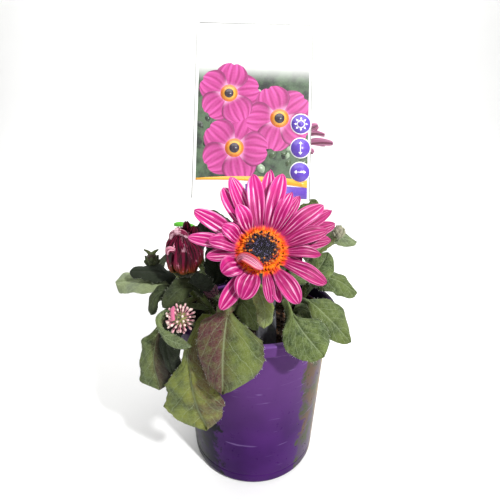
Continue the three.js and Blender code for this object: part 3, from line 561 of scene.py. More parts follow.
def spent_paint():
    """Spent florets: blade's second value runs from root to tip; look is painted shade and pink."""
    paint = Paint("spent_floret_skin", 0.65, Sheen_Weight=0.2)
    _, along, _ = paint.blade()
    dark, pink, _ = paint.look()
    grain = paint.noise(1300)
    body = along.step(0.15, 0.6).mix("#7E8846", "#CC8A9A")
    body = along.step(0.62, 0.85).mix(body, "#F4E0D2")
    body = pink.mix(body, "#C85F86")
    # Painted shade: a head that lies in shadow is painted dark all over
    body = dark.mix(body, along.step(0.5, 0.95).mix("#2A1522", "#6A3A4C"))
    paint.colour((grain.step(0.35, 0.7) * 0.3).mix(body, "#8A4A5E"))
    paint.bump(grain, 0.2, 0.6)
    return paint.material


def pot_paint():
    """Gloss purple with a plain front, soft blotches round the sides, painted light up the wall and on the
    lip's top, and painted shade inside and on the back of the lip.

    Heights and radii are in metres here, and turns in radians from the front.
    """
    paint = Paint("pot_gloss", 0.3, Specular_IOR_Level=0.05)
    x, y, z = paint.parts(paint.place())
    turn = paint.math("ARCTAN2", x, y * -1)
    cloud = paint.noise(16, roughness=0.6)
    jagged = paint.noise(70, 4.0, roughness=0.7)
    purple = cloud.step(0.3, 0.7).mix("#2D0C46", "#421A5E")
    # Painted light: the wall is lighter higher up, and the top of the lip carries a painted highlight
    purple = (z.step(0.03, 0.12) * 0.5).mix(purple, "#6A447E")
    purple = (z.step(0.1385, 0.1398) * 0.7).mix(purple, "#6F4C90")
    sway = (jagged - 0.5) * 0.7
    patches = (paint.noise(32, 4.0, roughness=0.65) - 0.5) * 3.6
    printed = z.step(0.131, 0.1305) * (abs(turn) + patches).step(2.45, 2.15)
    warm = paint.noise(34, 4.0).step(0.42, 0.58).mix("#54402F", "#463652")
    warm = jagged.step(0.5, 0.58).mix(warm, "#3C402B")
    glowing = turn + sway * 0.8
    gold = glowing.step(1.05, 1.3) * (glowing + patches).step(1.9, 1.4)
    warm = gold.mix(warm, cloud.step(0.35, 0.65).mix("#94792C", "#7E5A24"))
    cool = jagged.step(0.42, 0.58).mix("#040B06", "#16062A")
    cool = paint.noise(150, 4.0).step(0.6, 0.68).mix(cool, "#253A20")
    edge = turn + sway
    skin = (edge.step(0.66, 0.72) * printed).mix(purple, warm)
    skin = (edge.step(-0.48, -0.56) * printed).mix(skin, cool)
    scuffs = paint.noise(40, 2.0, paint.stretched(9))
    skin = (scuffs.step(0.66, 0.74) * 0.35).mix(skin, "#8A70A8")
    # Painted shade: the inside wall, the inside of the lip and the back of the lip's top are darkened to
    # near black
    radius = paint.node("VectorMath", {0: paint.combine(x, y, 0)}, output=1, operation="LENGTH")
    slope = (WALL_TOP_RADIUS - FOOT_RADIUS) / (POT_HEIGHT - RIM_BAND)
    shaded_inner_wall = (radius - z * slope).step(0.0542, 0.0536)
    shaded_inner_lip = z.step(0.1314, 0.1318) * radius.step(0.0658, 0.065)
    shaded_back_lip = z.step(0.1365, 0.1375) * y.step(-0.055, -0.02) * 0.9
    paint.colour(shaded_inner_wall.most(shaded_inner_lip).most(shaded_back_lip).mix(skin, "#12081C"))
    paint.put(paint.shader.inputs["Roughness"], paint.noise(260) * 0.16 + 0.22)
    paint.bump(paint.noise(45, 2.0), 0.5, 0.35)
    paint.bump(paint.noise(1100, 2.0), 0.05, 0.4)
    return paint.material


def soil_paint():
    """Dark compost: look is bark share and perlite share."""
    paint = Paint("compost", 0.95, Specular_IOR_Level=0.2)
    bark, perlite, _ = paint.look()
    grain = paint.noise(320, 6.0, roughness=0.7)
    body = grain.step(0.35, 0.65).mix("#150E0A", "#3A2A1E")
    body = bark.mix(body, "#5B3E28")
    paint.colour(perlite.mix(body, "#CFC8BA"))
    paint.bump(grain, 1.2, 0.9)
    return paint.material


def print_paint():
    """Printed inks: blade is the foliage share and how far it fades; look is the ink's own colour."""
    paint = Paint("label_inks", 0.32, Coat_Weight=0.25)
    foliage, fade, _ = paint.blade()
    green = paint.noise(75, roughness=0.6).step(0.35, 0.6).mix("#151D17", "#4E6448")
    green = paint.cells(60).step(0.35, 0.2).mix(green, "#33462F")
    green = fade.mix(green, "#F3F4F1")
    body = foliage.mix(paint.attribute("look", "Color"), green)
    paint.colour((paint.noise(900, 1.0) * 0.06).mix(body, "#FFFFFF"))
    return paint.material


# Stems and leaves

LARGE_LEAF = 9.5
LEAF_ROWS = 60
LEAF_COLUMNS = 26
SMALL_ROWS = 40
SMALL_COLUMNS = 16
LEAF_STALK_HALF = 1.5
LEAF_DROOP = 0.18
LEAF_WAVE = 1.2
LEAF_WAVE_RATE = 15
LOBES = 3.6
TEETH = 11
VEINS = 4.5
VEIN_SLOPE = 1.35
# Blade values for leaf skin without veins
PLAIN_LEAF = (1, 0.5, 0)
# Hairs: how many on a large leaf, a small leaf, a leafy stem and a stalk, and how long
LARGE_LEAF_HAIRS = 90
SMALL_LEAF_HAIRS = 40
STEM_HAIRS = 260
STALK_HAIRS = 420
LEAF_HAIR = 1.1
STEM_HAIR = 1.3
STALK_HAIR = 1.4
HAIR_RADIUS = 0.07
HAIRY_SPAN = (0.25, 0.98)

# Leafy stems, as in the part. A leaf's outline is its width from stalk to tip, at u = 1 and at u = -1.
# Its look is its purple, the side that the purple leans to, its yellow and its painted shade, which darkens
# a leaf in shadow and below 0 lightens it as painted light.
LEAFY_STEMS = {
    "leafy_stem_left": {
        "foot": (-38, -12),
        "path": [(-43, -18, 148), (-51, -23, 162), (-58, -27, 171)],
        "leaves": [
            dict(at=0.93, path=[(-68, -31, 171), (-84, -32, 173), (-104, -30, 170.5)], half=12,
                 facing=(0.1, -0.5, 0.8), look=(0, 0, 0.25, -0.22), teeth=0.3,
                 outline=((0.3, 0.7, 0.95, 1, 0.98, 0.92, 0.8, 0.6),
                          (0.3, 0.65, 0.76, 0.8, 0.82, 0.8, 0.7, 0.5))),
            dict(at=0.98, path=[(-66, -31, 178), (-78, -34, 181), (-90, -37, 182)], half=7.4,
                 facing=(0, -0.6, 0.8), look=(0.05, 0, 0, 0.93),
                 outline=((0.7, 1, 1, 0.95, 0.85, 0.65, 0.4), (0.7, 1, 1, 0.95, 0.85, 0.65, 0.4))),
            dict(at=0.82, path=[(-66, -36, 167), (-73, -42, 163), (-75, -44, 151)], half=6,
                 facing=(-0.4, -0.8, 0.4), look=(0.3, 0, 0.1, 0.7)),
            dict(at=0.66, path=[(-64, -44, 150), (-69, -52, 140), (-73, -56, 121), (-70, -56, 95.5)],
                 half=14, facing=(-0.35, -0.9, 0.2), look=(0.4, -1.2, 0.2, 0.1), stalk=0.46, painted_margin_shade=0.75,
                 teeth=0.5,
                 outline=((0.3, 0.5, 0.93, 0.94, 1.01, 1.08, 1.18, 1.25, 1.3),
                          (0.1, 0.2, 0.44, 0.68, 0.84, 0.87, 0.8, 0.66, 0.5))),
            dict(at=0.5, path=[(-48, -6, 156), (-60, 2, 162), (-76, 4, 154)], half=10,
                 facing=(-0.2, -0.1, 0.9), look=(0.1, 0, 0.1, 0.75)),
            dict(at=0.4, path=[(-52, -34, 150), (-60, -48, 147), (-62, -58, 134), (-58, -61, 112)], half=12,
                 facing=(-0.4, -0.8, 0.4), look=(0.2, 0, 0, 0.9)),
        ],
        "buds": [dict(at=0.99, path=[(-68, -26, 178), (-74, -25, 182)], centre=(-77, -24, 186), radius=4.6,
                      horns=2)],
    },
    "leafy_stem_front_left": {
        "foot": (-25, -31),
        "path": [(-29, -35, 144), (-35, -38, 158), (-41, -39, 168)],
        "leaves": [
            dict(at=0.5,
                 path=[(-37, -54, 148), (-44, -70, 137), (-44, -72, 120), (-41, -73, 97), (-34, -70, 72.5)],
                 half=22, facing=(-0.35, -0.9, 0.25), look=(0.35, -0.9, 1.0, 0.05), stalk=0.46,
                 outline=((0.3, 0.4, 0.78, 1.02, 1.22, 1.3, 1.32, 1.3, 1.35),
                          (0.2, 0.36, 0.54, 0.72, 0.98, 0.9, 0.74, 0.56, 0.4))),
            dict(at=0.75,
                 path=[(-54, -46, 160), (-66.1, -57, 157.1), (-65.3, -62, 152.2), (-61.9, -67, 149.1),
                       (-55.9, -71, 146.6), (-48.5, -75, 146.5), (-41, -79, 147.3)],
                 half=4, facing=(-0.5, -0.3, 0.8), look=(0.1, 0, 0.1, -0.05), stalk=0.45, teeth=0.6,
                 outline=((0.3, 0.3, 0.3, 0.34, 0.5, 0.65, 0.85, 0.83, 0.7),
                          (0.3, 0.38, 0.5, 0.75, 1.05, 1.3, 1.15, 0.75, 0.4))),
            dict(at=0.96, path=[(-37, -45, 173), (-37, -50, 179), (-37, -53, 187)], half=8.5,
                 facing=(0, -0.9, 0.3), look=(0.1, 0, 0, 0.9), stalk=0.2),
            dict(at=0.9, path=[(-46, -47, 175), (-54, -52, 173), (-63, -56, 163)], half=8,
                 facing=(-0.1, -0.8, 0.6), look=(0.15, 0, 0.2, 0.7)),
        ],
    },
    "leafy_stem_front": {
        "foot": (-8, -32),
        "path": [(-10, -36, 146), (-12, -42, 158), (-13, -46, 168)],
        "leaves": [
            dict(at=0.7, path=[(-16, -56, 164), (-18, -72, 163), (-20, -85, 147), (-21, -86, 117)], half=25,
                 facing=(0.05, -0.95, 0.3), look=(0.9, 0.75, 0.5, 0.2), teeth=0.5,
                 outline=((0.1, 0.4, 0.64, 0.68, 0.65, 0.62, 0.5, 0.38, 0.32),
                          (0.1, 0.3, 0.68, 0.96, 1.06, 1.05, 1.0, 0.86, 0.66))),
            dict(at=0.88, path=[(-14, -57, 172), (-20, -67, 167), (-23, -72, 157)], half=6,
                 facing=(-0.2, -0.9, 0.3), look=(1, 0, 0.1, 0)),
            dict(at=0.8, path=[(-9, -58, 168), (-4, -64, 164), (2, -67, 152)], half=8,
                 facing=(0.2, -0.9, 0.3), look=(0.15, 0, 0.1, 0.1)),
            dict(at=0.98, path=[(-9, -60, 175), (0, -66, 182), (6, -72, 172), (6, -74, 157.5)], half=5.8,
                 facing=(0, -0.95, 0.3), look=(0.2, 0.6, 0.9, -0.05), stalk=0.42,
                 outline=((0.3, 0.8, 0.95, 1, 1, 0.95, 0.85, 0.7), (0.3, 0.7, 0.9, 1, 1, 0.95, 0.9, 0.75))),
        ],
    },
    "leafy_stem_front_right": {
        "foot": (26, -28),
        "path": [(26, -31, 144), (24, -36, 156), (23, -40, 164)],
        "leaves": [
            dict(at=0.9, path=[(23, -52, 165), (26, -63, 160), (32, -70, 152), (45, -77, 138)], half=15.5,
                 facing=(0.1, -0.8, 0.6), look=(0, 0, 0.2, 0.05), stalk=0.42, teeth=0.5,
                 outline=((0.15, 0.4, 0.74, 0.95, 1.0, 0.95, 0.8, 0.62, 0.5),
                          (0.1, 0.3, 0.66, 0.89, 0.99, 1.0, 0.92, 0.8, 0.62))),
            dict(at=0.75, path=[(31, -42, 163), (39, -46, 163), (52, -52, 153), (69, -54, 134.5)], half=13.5,
                 facing=(0.3, -0.7, 0.7), look=(0, 0, 0.25, 0.2), stalk=0.36, teeth=0.2,
                 outline=((0.1, 0.4, 0.63, 0.77, 0.84, 0.8, 0.64, 0.45, 0.3),
                          (0.1, 0.62, 1.02, 1.14, 1.16, 1.13, 0.98, 0.74, 0.5))),
            dict(at=0.55, path=[(34, -36, 152), (42, -44, 152), (50, -48, 146)], half=7,
                 facing=(0, -0.6, 0.8), look=(0.1, 0, 0.1, 0.3)),
        ],
    },
    "leafy_stem_right": {
        "foot": (38, -8),
        "path": [(40, -10, 148), (42, -13, 164), (44, -14, 180)],
        "leaves": [
            dict(at=0.75, path=[(50, -20, 171), (64, -24, 170), (80, -24, 159)], half=10.5,
                 facing=(0.2, -0.6, 0.8), look=(0, 0, 0.15, 0.17), stalk=0.12, teeth=0.2,
                 outline=((0.3, 0.8, 1.02, 1.12, 1.14, 1.06, 0.92, 0.76, 0.6),
                          (0.3, 0.5, 0.6, 0.76, 0.84, 0.76, 0.68, 0.54, 0.4))),
            dict(at=0.82, path=[(44, -24, 174), (50, -25, 182), (56, -22, 192)], half=11,
                 facing=(-0.3, -0.8, 0.6), look=(0, 0, 0.1, 0), stalk=0.2, teeth=0.4),
            dict(at=0.97, path=[(52, -10, 192), (64, -4, 199), (83, -2, 194)], half=7,
                 facing=(0.1, -0.6, 0.8), look=(0, 0, 0.1, -0.12), teeth=0.2,
                 outline=((0.3, 0.7, 0.9, 1, 1, 0.9, 0.6), (0.3, 0.7, 0.9, 1, 0.98, 0.85, 0.55))),
            dict(at=0.55, path=[(52, -2, 160), (64, 4, 162), (78, 6, 149)], half=12,
                 facing=(0.4, 0, 0.9), look=(0, 0, 0.1, 0.2)),
            dict(at=0.88, path=[(41, -24, 176), (35, -31, 177), (27, -35, 174)], half=8,
                 facing=(-0.1, -0.7, 0.7), look=(0.1, 0, 0.1, 0.35)),
        ],
        "buds": [dict(at=0.98, path=[(52, -15, 190), (61, -12, 197)], centre=(66, -9, 204), radius=4.2,
                      horns=0)],
    },
    "leafy_stem_back_right": {
        "foot": (26, 20),
        "path": [(29, 22, 150), (33, 20, 175), (35, 16, 195)],
        "leaves": [
            dict(at=0.97, path=[(38, 10, 206), (44, 8, 216), (50, 7, 227)], half=9,
                 facing=(-0.2, -0.9, 0.3), look=(0.1, 0, 0.2, 0.1)),
            dict(at=0.8, path=[(42, 24, 184), (54, 28, 187), (67, 30, 178)], half=11,
                 facing=(0.2, -0.2, 0.9), look=(0, 0, 0.1, 0)),
            dict(at=0.6, path=[(40, 34, 172), (54, 52, 170), (64, 66, 150)], half=14,
                 facing=(0.3, 0.4, 0.8), look=(0.1, 0, 0.2, 0)),
            dict(at=0.45, path=[(32, 40, 158), (36, 62, 156), (38, 80, 132)], half=16,
                 facing=(0.1, 0.7, 0.7), look=(0.2, 0.4, 0.1, 0)),
        ],
    },
    "leafy_stem_back": {
        "foot": (-4, 30),
        "path": [(-5, 33, 150), (-6, 36, 172), (-6, 36, 190)],
        "leaves": [
            dict(at=0.95, path=[(-14, 26, 199), (-24, 18, 206), (-38, 14, 216)], half=10,
                 facing=(-0.1, -0.5, 0.8), look=(0.1, 0, 0.1, 0.45)),
            dict(at=0.75, path=[(-2, 50, 184), (2, 66, 184), (4, 84, 166)], half=15,
                 facing=(0, 0.4, 0.9), look=(0.1, 0, 0.3, 0)),
            dict(at=0.55, path=[(-12, 48, 164), (-18, 66, 158), (-20, 84, 130)], half=17,
                 facing=(-0.1, 0.8, 0.6), look=(0, 0, 0.1, 0)),
            dict(at=0.85, path=[(6, 44, 196), (16, 46, 206), (28, 44, 214)], half=9,
                 facing=(0, -0.3, 0.9), look=(0, 0, 0.2, 0)),
            dict(at=0.38, path=[(-2, 20, 150), (-1, 8, 158), (2, -4, 156)], half=9,
                 facing=(0, -0.3, 0.9), look=(0.1, 0, 0, 0.7)),
        ],
    },
    "leafy_stem_back_left": {
        "foot": (-34, 14),
        "path": [(-38, 16, 148), (-44, 16, 168), (-46, 14, 184)],
        "leaves": [
            dict(at=0.95, path=[(-41, 2, 194), (-36, -8, 202), (-36, -16, 214)], half=12,
                 facing=(0, -0.8, 0.5), look=(0, 0, 0, 0.88)),
            dict(at=0.99, path=[(-47, 8, 196), (-50.5, 3, 206), (-56, 1, 208.5), (-64, 0, 208.5)], half=3,
                 facing=(0.2, -0.6, 0.8), look=(0, 0, 1.4, -0.05)),
            dict(at=0.8, path=[(-56, 18, 178), (-73, 18, 178), (-88, 14, 164)], half=12,
                 facing=(-0.2, -0.1, 0.9), look=(0, 0, 0.1, 0.7)),
            dict(at=0.62, path=[(-52, 30, 166), (-66, 44, 162), (-78, 54, 142)], half=14,
                 facing=(-0.4, 0.3, 0.8), look=(0.15, 0, 0.2, 0)),
            dict(at=0.45, path=[(-42, 36, 152), (-48, 56, 148), (-50, 71, 124)], half=14,
                 facing=(-0.3, 0.8, 0.6), look=(0, 0, 0.1, 0)),
            dict(at=0.4, path=[(-36, 8, 148), (-31, 4, 166), (-33, 0, 192)], half=11,
                 facing=(0.1, -0.9, 0.3), look=(0, 0, 0, 0.9)),
        ],
    },
}


def rooted(foot, path):
    x, y = foot
    return [(x, y, STEM_FOOT), (x, y, STEM_MIDDLE), (x, y, SOIL_TOP + COLLAR), *path]


def toothed(s, u, seed):
    """Margin of a leaf: pointed lobes and small teeth between shallow bays, unlike on its two sides."""
    side = np.where(u < 0, 0.37, 0.0)
    lobes = 1 - np.abs(np.sin(np.pi * (LOBES * s + side + seed)))
    teeth = 1 - np.abs(np.sin(np.pi * (TEETH * s + 2 * side + seed)))
    return 0.12 * (lobes - 0.4) + 0.045 * (teeth - 0.4)


def along_margin(s, shares):
    """Width of a leaf at share s of its length, a smooth curve through the given shares."""
    ends = np.array([2 * shares[0] - shares[1], *shares, 2 * shares[-1] - shares[-2]])
    place = np.clip(s, 0, 1) * (len(shares) - 1)
    first = np.minimum(place.astype(int), len(shares) - 2)
    f = place - first
    a, b, c, d = (ends[first + k] for k in range(4))
    return b + 0.5 * f * (c - a + f * (2 * a - 5 * b + 4 * c - d + f * (3 * (b - c) + d - a)))


def add_leaf(piece, hairs, root, path, half, facing, look, stalk=0.3, outline=None, teeth=1.0, painted_margin_shade=0.0):
    """One leaf on its stalk. The last argument paints shade: how much darker its minus margin is than the
    rest, where that margin curls into shadow.
    """
    seed = rng.random()
    purple, lean, yellow, shade = look
    points = [tuple(root), *path]
    length = Spine(points).lengths[-1] * (1 - stalk)
    slope = min(0.7, VEIN_SLOPE * half / length)

    def share(t):
        return np.clip((t - stalk) / (1 - stalk), 0, 1)

    def width(t, u):
        s = share(t)
        if outline:
            broad = np.where(u > 0, along_margin(s, outline[0]), along_margin(s, outline[1]))
            broad = broad * np.sqrt(np.clip(1 - np.clip((s - 0.88) / 0.12, 0, 1) ** 2, 0, 1))
        else:
            broad = np.sqrt(np.sin(np.pi * s ** 0.8))
        margin = 1 + teeth * toothed(s, u, seed) * np.abs(u) ** 2
        wings = LEAF_STALK_HALF * (1 - 0.6 * smooth(s, 0.8, 1))
        return np.maximum(wings, half * broad * margin)

    def vein_number(t, u):
        return VEINS * (share(t) - slope * np.abs(u) ** 1.1) + seed

    def lift(t, u):
        wave = LEAF_WAVE * u * np.abs(u) * np.sin(t * LEAF_WAVE_RATE) - half * LEAF_DROOP * u * u
        away = np.abs(vein_number(t, u) % 1 - 0.5) * 2
        inner = smooth(np.abs(u), 0, 0.25) * (1 - u * u) * smooth(share(t), 0, 0.15)
        quilt = 0.07 * half * (1 - away ** 5) * inner
        groove = -0.06 * half * np.exp(-((u / 0.07) ** 2)) * smooth(share(t), 0, 0.1)
        ruffle = 0.05 * half * np.abs(u) ** 3 * np.sin(t * 31 + 9 * seed + 2 * u)
        return wave + quilt + groove + ruffle * smooth(share(t), 0, 0.2)

    def thickness(t, u):
        petiole = 1 - smooth(t, 0.75 * stalk, 1.15 * stalk)
        return 0.3 + 0.5 * (1 - u * u) + 2.0 * petiole * np.sqrt(np.clip(1 - u * u, 0.05, 1))

    large = half > LARGE_LEAF
    rows, columns = (LEAF_ROWS, LEAF_COLUMNS) if large else (SMALL_ROWS, SMALL_COLUMNS)
    corners, faces, t, u, under = blade(points, facing, width, lift, thickness, rows, columns)
    rim = 0.45 * purple * np.abs(u) ** 8
    leaning = np.clip(purple * (0.5 + 0.5 * np.tanh(3 * lean * (u - 0.1))) * (2 if lean else 1) + rim, 0, 1)
    # Painted shade: the leaf's shade, deeper along its minus margin
    dim = shade + painted_margin_shade * smooth(-u, -0.1, 0.7)
    piece.add(corners, faces, (u, vein_number(t, u), seed), (leaning, yellow, under, dim))
    margin = np.flatnonzero((np.abs(u) > 0.999) & (under == 0) & (t > stalk))
    middle = corners[np.flatnonzero((u == 0) & (under == 0))].mean(axis=0)
    for k in rng.choice(margin, LARGE_LEAF_HAIRS if large else SMALL_LEAF_HAIRS):
        outward = unit(corners[k] - middle + rng.normal(0, 6, 3))
        hairs.hair(corners[k] + rng.normal(0, 0.3, 3), outward, LEAF_HAIR)


class Hairs(Piece):
    """Fine pale hairs, each a slim three-sided point."""

    def hair(self, root, direction, length):
        side = unit(np.cross(direction, (0.3, 0.5, 0.8)))
        other = np.cross(side, direction)
        ring = [root + HAIR_RADIUS * (math.cos(a) * side + math.sin(a) * other) for a in (0, 2.1, 4.2)]
        tip = root + direction * length * rng.uniform(0.6, 1.2)
        self.add(np.array([*ring, tip]), [[0, 1, 3], [1, 2, 3], [2, 0, 3], [0, 2, 1]])

    def along(self, points, radius, count, length):
        spine = Spine(points)
        for share in rng.uniform(*HAIRY_SPAN, count):
            forward = spine.along(share)[0]
            turn = unit(np.cross(forward, rng.normal(0, 1, 3)))
            self.hair(spine.at(share)[0] + turn * radius * 0.95, unit(turn + 0.3 * forward), length)


def add_bract(piece, place, base, length, half, lean, look):
    """A small pointed bract on a cup or bud. base is its distance and height, lean its slope outwards."""
    out, height = base
    rise = length * math.cos(math.radians(lean))
    reach = length * math.sin(math.radians(lean))
    tip = (out + reach, 0, height + rise)
    points = [(out, 0, height), (out + 0.75 * reach, 0, height + 0.5 * rise), tip]
    corners, faces, t, u, _ = blade(
        points, (1, 0, 0.1), lambda t, u: half * np.sqrt(np.clip(1 - t ** 2, 0.02, 1)),
        lambda t, u: -0.35 * half * u * u, 0.5, 6, 4)
    piece.add(placed(corners, place), faces, (u, t, 0), look)


def add_bracts(piece, place, count, half, rings):
    """Rings of bracts, each half a step further round. A ring is its base, length, lean and look."""
    for ring, (base, length, lean, look) in enumerate(rings):
        for i in range(count):
            turn = rotation_z(360 * (i + 0.5 * ring) / count)
            add_bract(piece, place @ turn, base, length, half, lean, look)


def add_bud(piece, stem, at, path, centre, radius, horns):
    """A bud wrapped in bracts on a thin stalk of its own, with or without two curved horns."""
    root = Spine(stem).at(at)[0]
    corners, faces, _ = tube([tuple(root), *path, centre], lambda s: 1.0 + 0.3 * s, 24, 8)
    piece.add(corners, faces, PLAIN_LEAF, (0.3, 0.4, 0, 0.1))
    place = Matrix.Translation(centre)
    tall = 1.35 * radius
    body = [(radius * math.cos(a), tall * math.sin(a)) for a in np.linspace(-1.3, 1.3, 10)]
    # Painted shade darkens the horned bud and its horns, which lie in shadow; the other bud's shade below 0
    # is painted light, which with its purple gives its dry tan
    purple, dry, shade = (0.4, 0.25, 0.72) if horns else (0.92, 0.9, -0.36)
    piece.add_turned([(0, -tall), *body, (0, tall)], 18, place, PLAIN_LEAF, (0.95, dry, 0, shade))
    add_bracts(piece, place, 7, 0.45 * radius, [
        ((out * radius, height * radius), 1.25 * radius, lean, (purple, dry, 0, shade))
        for out, height, lean in ((0.72, -0.9, 28), (0.98, -0.4, 6), (0.98, 0.2, -24))
    ])
    for lean in (-1, 1)[:horns]:
        points = [(0, 0, 0.8 * radius), (2.4 * lean, 0, radius + 2.2), (5.4 * lean, 0, radius + 4.2)]
        corners, faces, _ = tube(points, lambda s: 2.2 * (1 - 0.75 * s), 10, 8)
        piece.add(placed(corners, place), faces, PLAIN_LEAF, (0.3, 0.2, 0, 0.6))


def make_leafy_stems(leaf, hairs):
    for name, stem in LEAFY_STEMS.items():
        piece = Piece(name + "_foliage")
        points = rooted(stem["foot"], stem["path"])
        corners, faces, t = tube(points, lambda s: LEAFY_STEM * (1.05 - 0.25 * s), 60, 14)
        piece.add(corners, faces, PLAIN_LEAF, (0.45 * (1 - t), 0.35, 0, 0.1))
        hairs.along(points, LEAFY_STEM, STEM_HAIRS, STEM_HAIR)
        spine = Spine(points)
        for one in stem["leaves"]:
            sizes = {key: value for key, value in one.items() if key != "at"}
            add_leaf(piece, hairs, spine.at(one["at"])[0], **sizes)
        for one in stem.get("buds", []):
            add_bud(piece, points, **one)
        piece.make(leaf, "leaf", name)


# Blooms

FRONT_BLOOM = dict(
    centre=(4, -70.7, 207.9), normal=(0, -0.766, 0.643), foot=(-7, -44),
    path=[(-6, -47, 150), (-3, -52, 175), (2, -58, 194)],
)
BACK_BLOOM = dict(
    centre=(23, 50, 268), normal=(0.05, 0.36, 0.93), foot=(10, 14),
    path=[(12, 18, 165), (17, 30, 205), (21, 42, 240)],
)
CLOSED_BLOOM = dict(
    centre=(-50, -34, 182), normal=(0.03, -0.4, 0.92), foot=(-20, -8),
    path=[(-27, -12, 148), (-40, -22, 166)],
)

# Petals, anticlockwise from +X: angle, length, half width, tip height, tier
OPEN_PETALS = [
    (11, 43.4, 5, 0, 0), (17, 41.7, 5.5, 5, 1), (22, 49.9, 5, 0, 0), (32, 52.2, 5, 2, 0),
    (37, 48.4, 5.6, 6, 1), (56, 42.8, 4.5, 6, 0), (63, 40.9, 4.2, 9, 1), (75, 51.9, 5.6, 9, 1),
    (84, 56.8, 5, 4, 0), (96, 50.6, 5.5, 8, 1), (111, 54.1, 5.6, 5, 0), (119, 29.8, 5, 12, 1),
    (119, 50.8, 6.4, 2, 0), (132, 26.2, 5.5, 3, 0), (147, 50.6, 5.6, 2, 0), (151, 27.3, 5, 9, 1),
    (168, 46.5, 4.8, 1, 0), (171, 32.3, 5, 6, 1), (186, 33.6, 4.8, 2, 0), (213, 27.7, 6.6, 5, 1),
    (235, 42.2, 5.2, -4, 0), (248, 32.1, 7.2, 2, 1), (279, 31.5, 3.5, -2, 1), (288, 32.7, 3.5, -1, 0),
    (303, 38.2, 5.6, 0, 1), (331, 42.5, 4.8, 1, 1), (344, 25, 5.5, 0, 0), (357, 35.7, 4.2, 1, 1),
]
FOLDED_PETAL = [(-12.4, -6, 1.7), (-13.8, -6.6, 4), (-11.2, -6.4, 7.8),
                (-7.1, -8.7, 9), (-3.1, -11.6, 8.8), (0.4, -13.1, 6.4)]
FOLDED_HALF = 3.4
# The folded petal lies over the outermost florets between these angles, from this distance on
FOLDED_GAP = (192, 282)
GAP_FROM = 9.2
NO_GAP = (361, 361)
# Blade values for the green skin of a cup
CUP_SKIN = (0, 0.9, 0)
PETAL_BASE = 0.58
PETAL_PEAK = 1.35
PETAL_ROWS = 36
PETAL_COLUMNS = 16
GOLDEN_ANGLE = 137.508
DISC_HEART = 6.2
CLOSED_FLORETS = 130
FLAMES = 46

# Rings of open florets on a disc: distance from the centre, count, height, lean outwards and flame share
DISC_RINGS = [(6.5, 17, 1.9, 3, 0), (7.3, 20, 2.0, 7, 0), (8.0, 22, 2.0, 12, 0.1), (8.8, 24, 1.9, 18, 0.5),
              (9.6, 20, 1.6, 26, 1)]
# Path of a floret's lobe, and profiles of its column of anthers and of a closed floret of radius 1
LOBE_PATH = [(0, 0, 0), (0.7, 0, 0.35), (1.25, 0, 0.1)]
ANTHERS = [(0, -0.4), (0.42, -0.2), (0.46, 1.0), (0.62, 1.7), (0.3, 2.1), (0, 2.2)]
BEAD = [(0, -1.2), (0.7, -0.8), (1, 0.1), (0.8, 0.9), (0.35, 1.35), (0, 1.5)]
LIGHT_TIP_SHARE = 0.3


def petal_width(half):
    def width(t, u):
        round_end = np.sin(np.pi * t ** PETAL_PEAK) ** 0.5
        return np.maximum(0.35, half * np.maximum(PETAL_BASE * np.sqrt(1 - t), round_end))
    return width


def flute(t, u):
    """Lengthwise ridges of a petal."""
    return -0.22 * np.cos(2 * np.pi * STRIPES * u) * np.sqrt(np.sin(np.pi * np.clip(t, 0.001, 0.999)))


def thin(t, u):
    return 0.28 + 0.42 * (1 - u * u) * (1 - 0.6 * t)


def add_petal(piece, place, angle, length, half, tip, tier):
    seed = rng.random()
    low = 0.6 + TIER_STEP * tier
    rise = 0.55 * tip + 2.6 * tier + 1
    clear = PLATE_RADIUS + 2.5
    points = [(PETAL_ROOT, 0, low), (clear, 0, low + 0.1), ((length + clear) / 2, 0, rise), (length, 0, tip)]
    curl = 1.1 * math.sin(17 * seed)
    # Painted light: brightest at the top of the bloom, and darker to the right and left
    upper = max(0, math.sin(math.radians(angle - 20)))
    right = max(0, math.cos(math.radians(angle - 8))) ** 3
    left = max(0, math.cos(math.radians(angle - 165))) ** 3
    painted_light_and_fold = 0.34 + 0.6 * upper - 0.28 * right - 0.18 * left

    def lift(t, u):
        cup = PETAL_CUP * half * u * u * np.sin(np.pi * t)
        twist = curl * u * t * t + 0.35 * np.abs(u) ** 3 * np.sin(9 * t + 6 * seed)
        return cup + flute(t, u) + twist

    corners, faces, t, u, under = blade(
        points, (0, 0, 1), petal_width(half), lift, thin, PETAL_ROWS, PETAL_COLUMNS)
    distance = np.hypot(corners[:, 0], corners[:, 1])
    corners = placed(corners, place @ rotation_z(angle))
    piece.add(corners, faces, (u, distance, seed), (t, under, painted_light_and_fold, 0))


def add_folded_petal(piece, place):
    """One petal that is folded over the rim of the disc."""
    corners, faces, t, u, _ = blade(
        FOLDED_PETAL, (0.1, -0.25, 1), petal_width(FOLDED_HALF),
        lambda t, u: 2 * flute(t, u) + 1.3 * np.abs(u) * np.sin(np.pi * t), thin, 40, 14)
    piece.add(placed(corners, place), faces, (u, 15 + 9 * t, 0.3), (0.35 + 0.6 * t, 0, 1.2, 0))


def add_plate(piece, place):
    """The flat plate under the disc, which holds the petals."""
    rim = 0.6
    profile = [(0, 0), (PLATE_RADIUS - rim, 0), (PLATE_RADIUS, rim), (PLATE_RADIUS, PLATE_HEIGHT - rim),
               (PLATE_RADIUS - rim, PLATE_HEIGHT), (0, PLATE_HEIGHT)]
    piece.add_turned(profile, 48, place, (0.6, 12, 0), (0.1, 0, 0, 0))


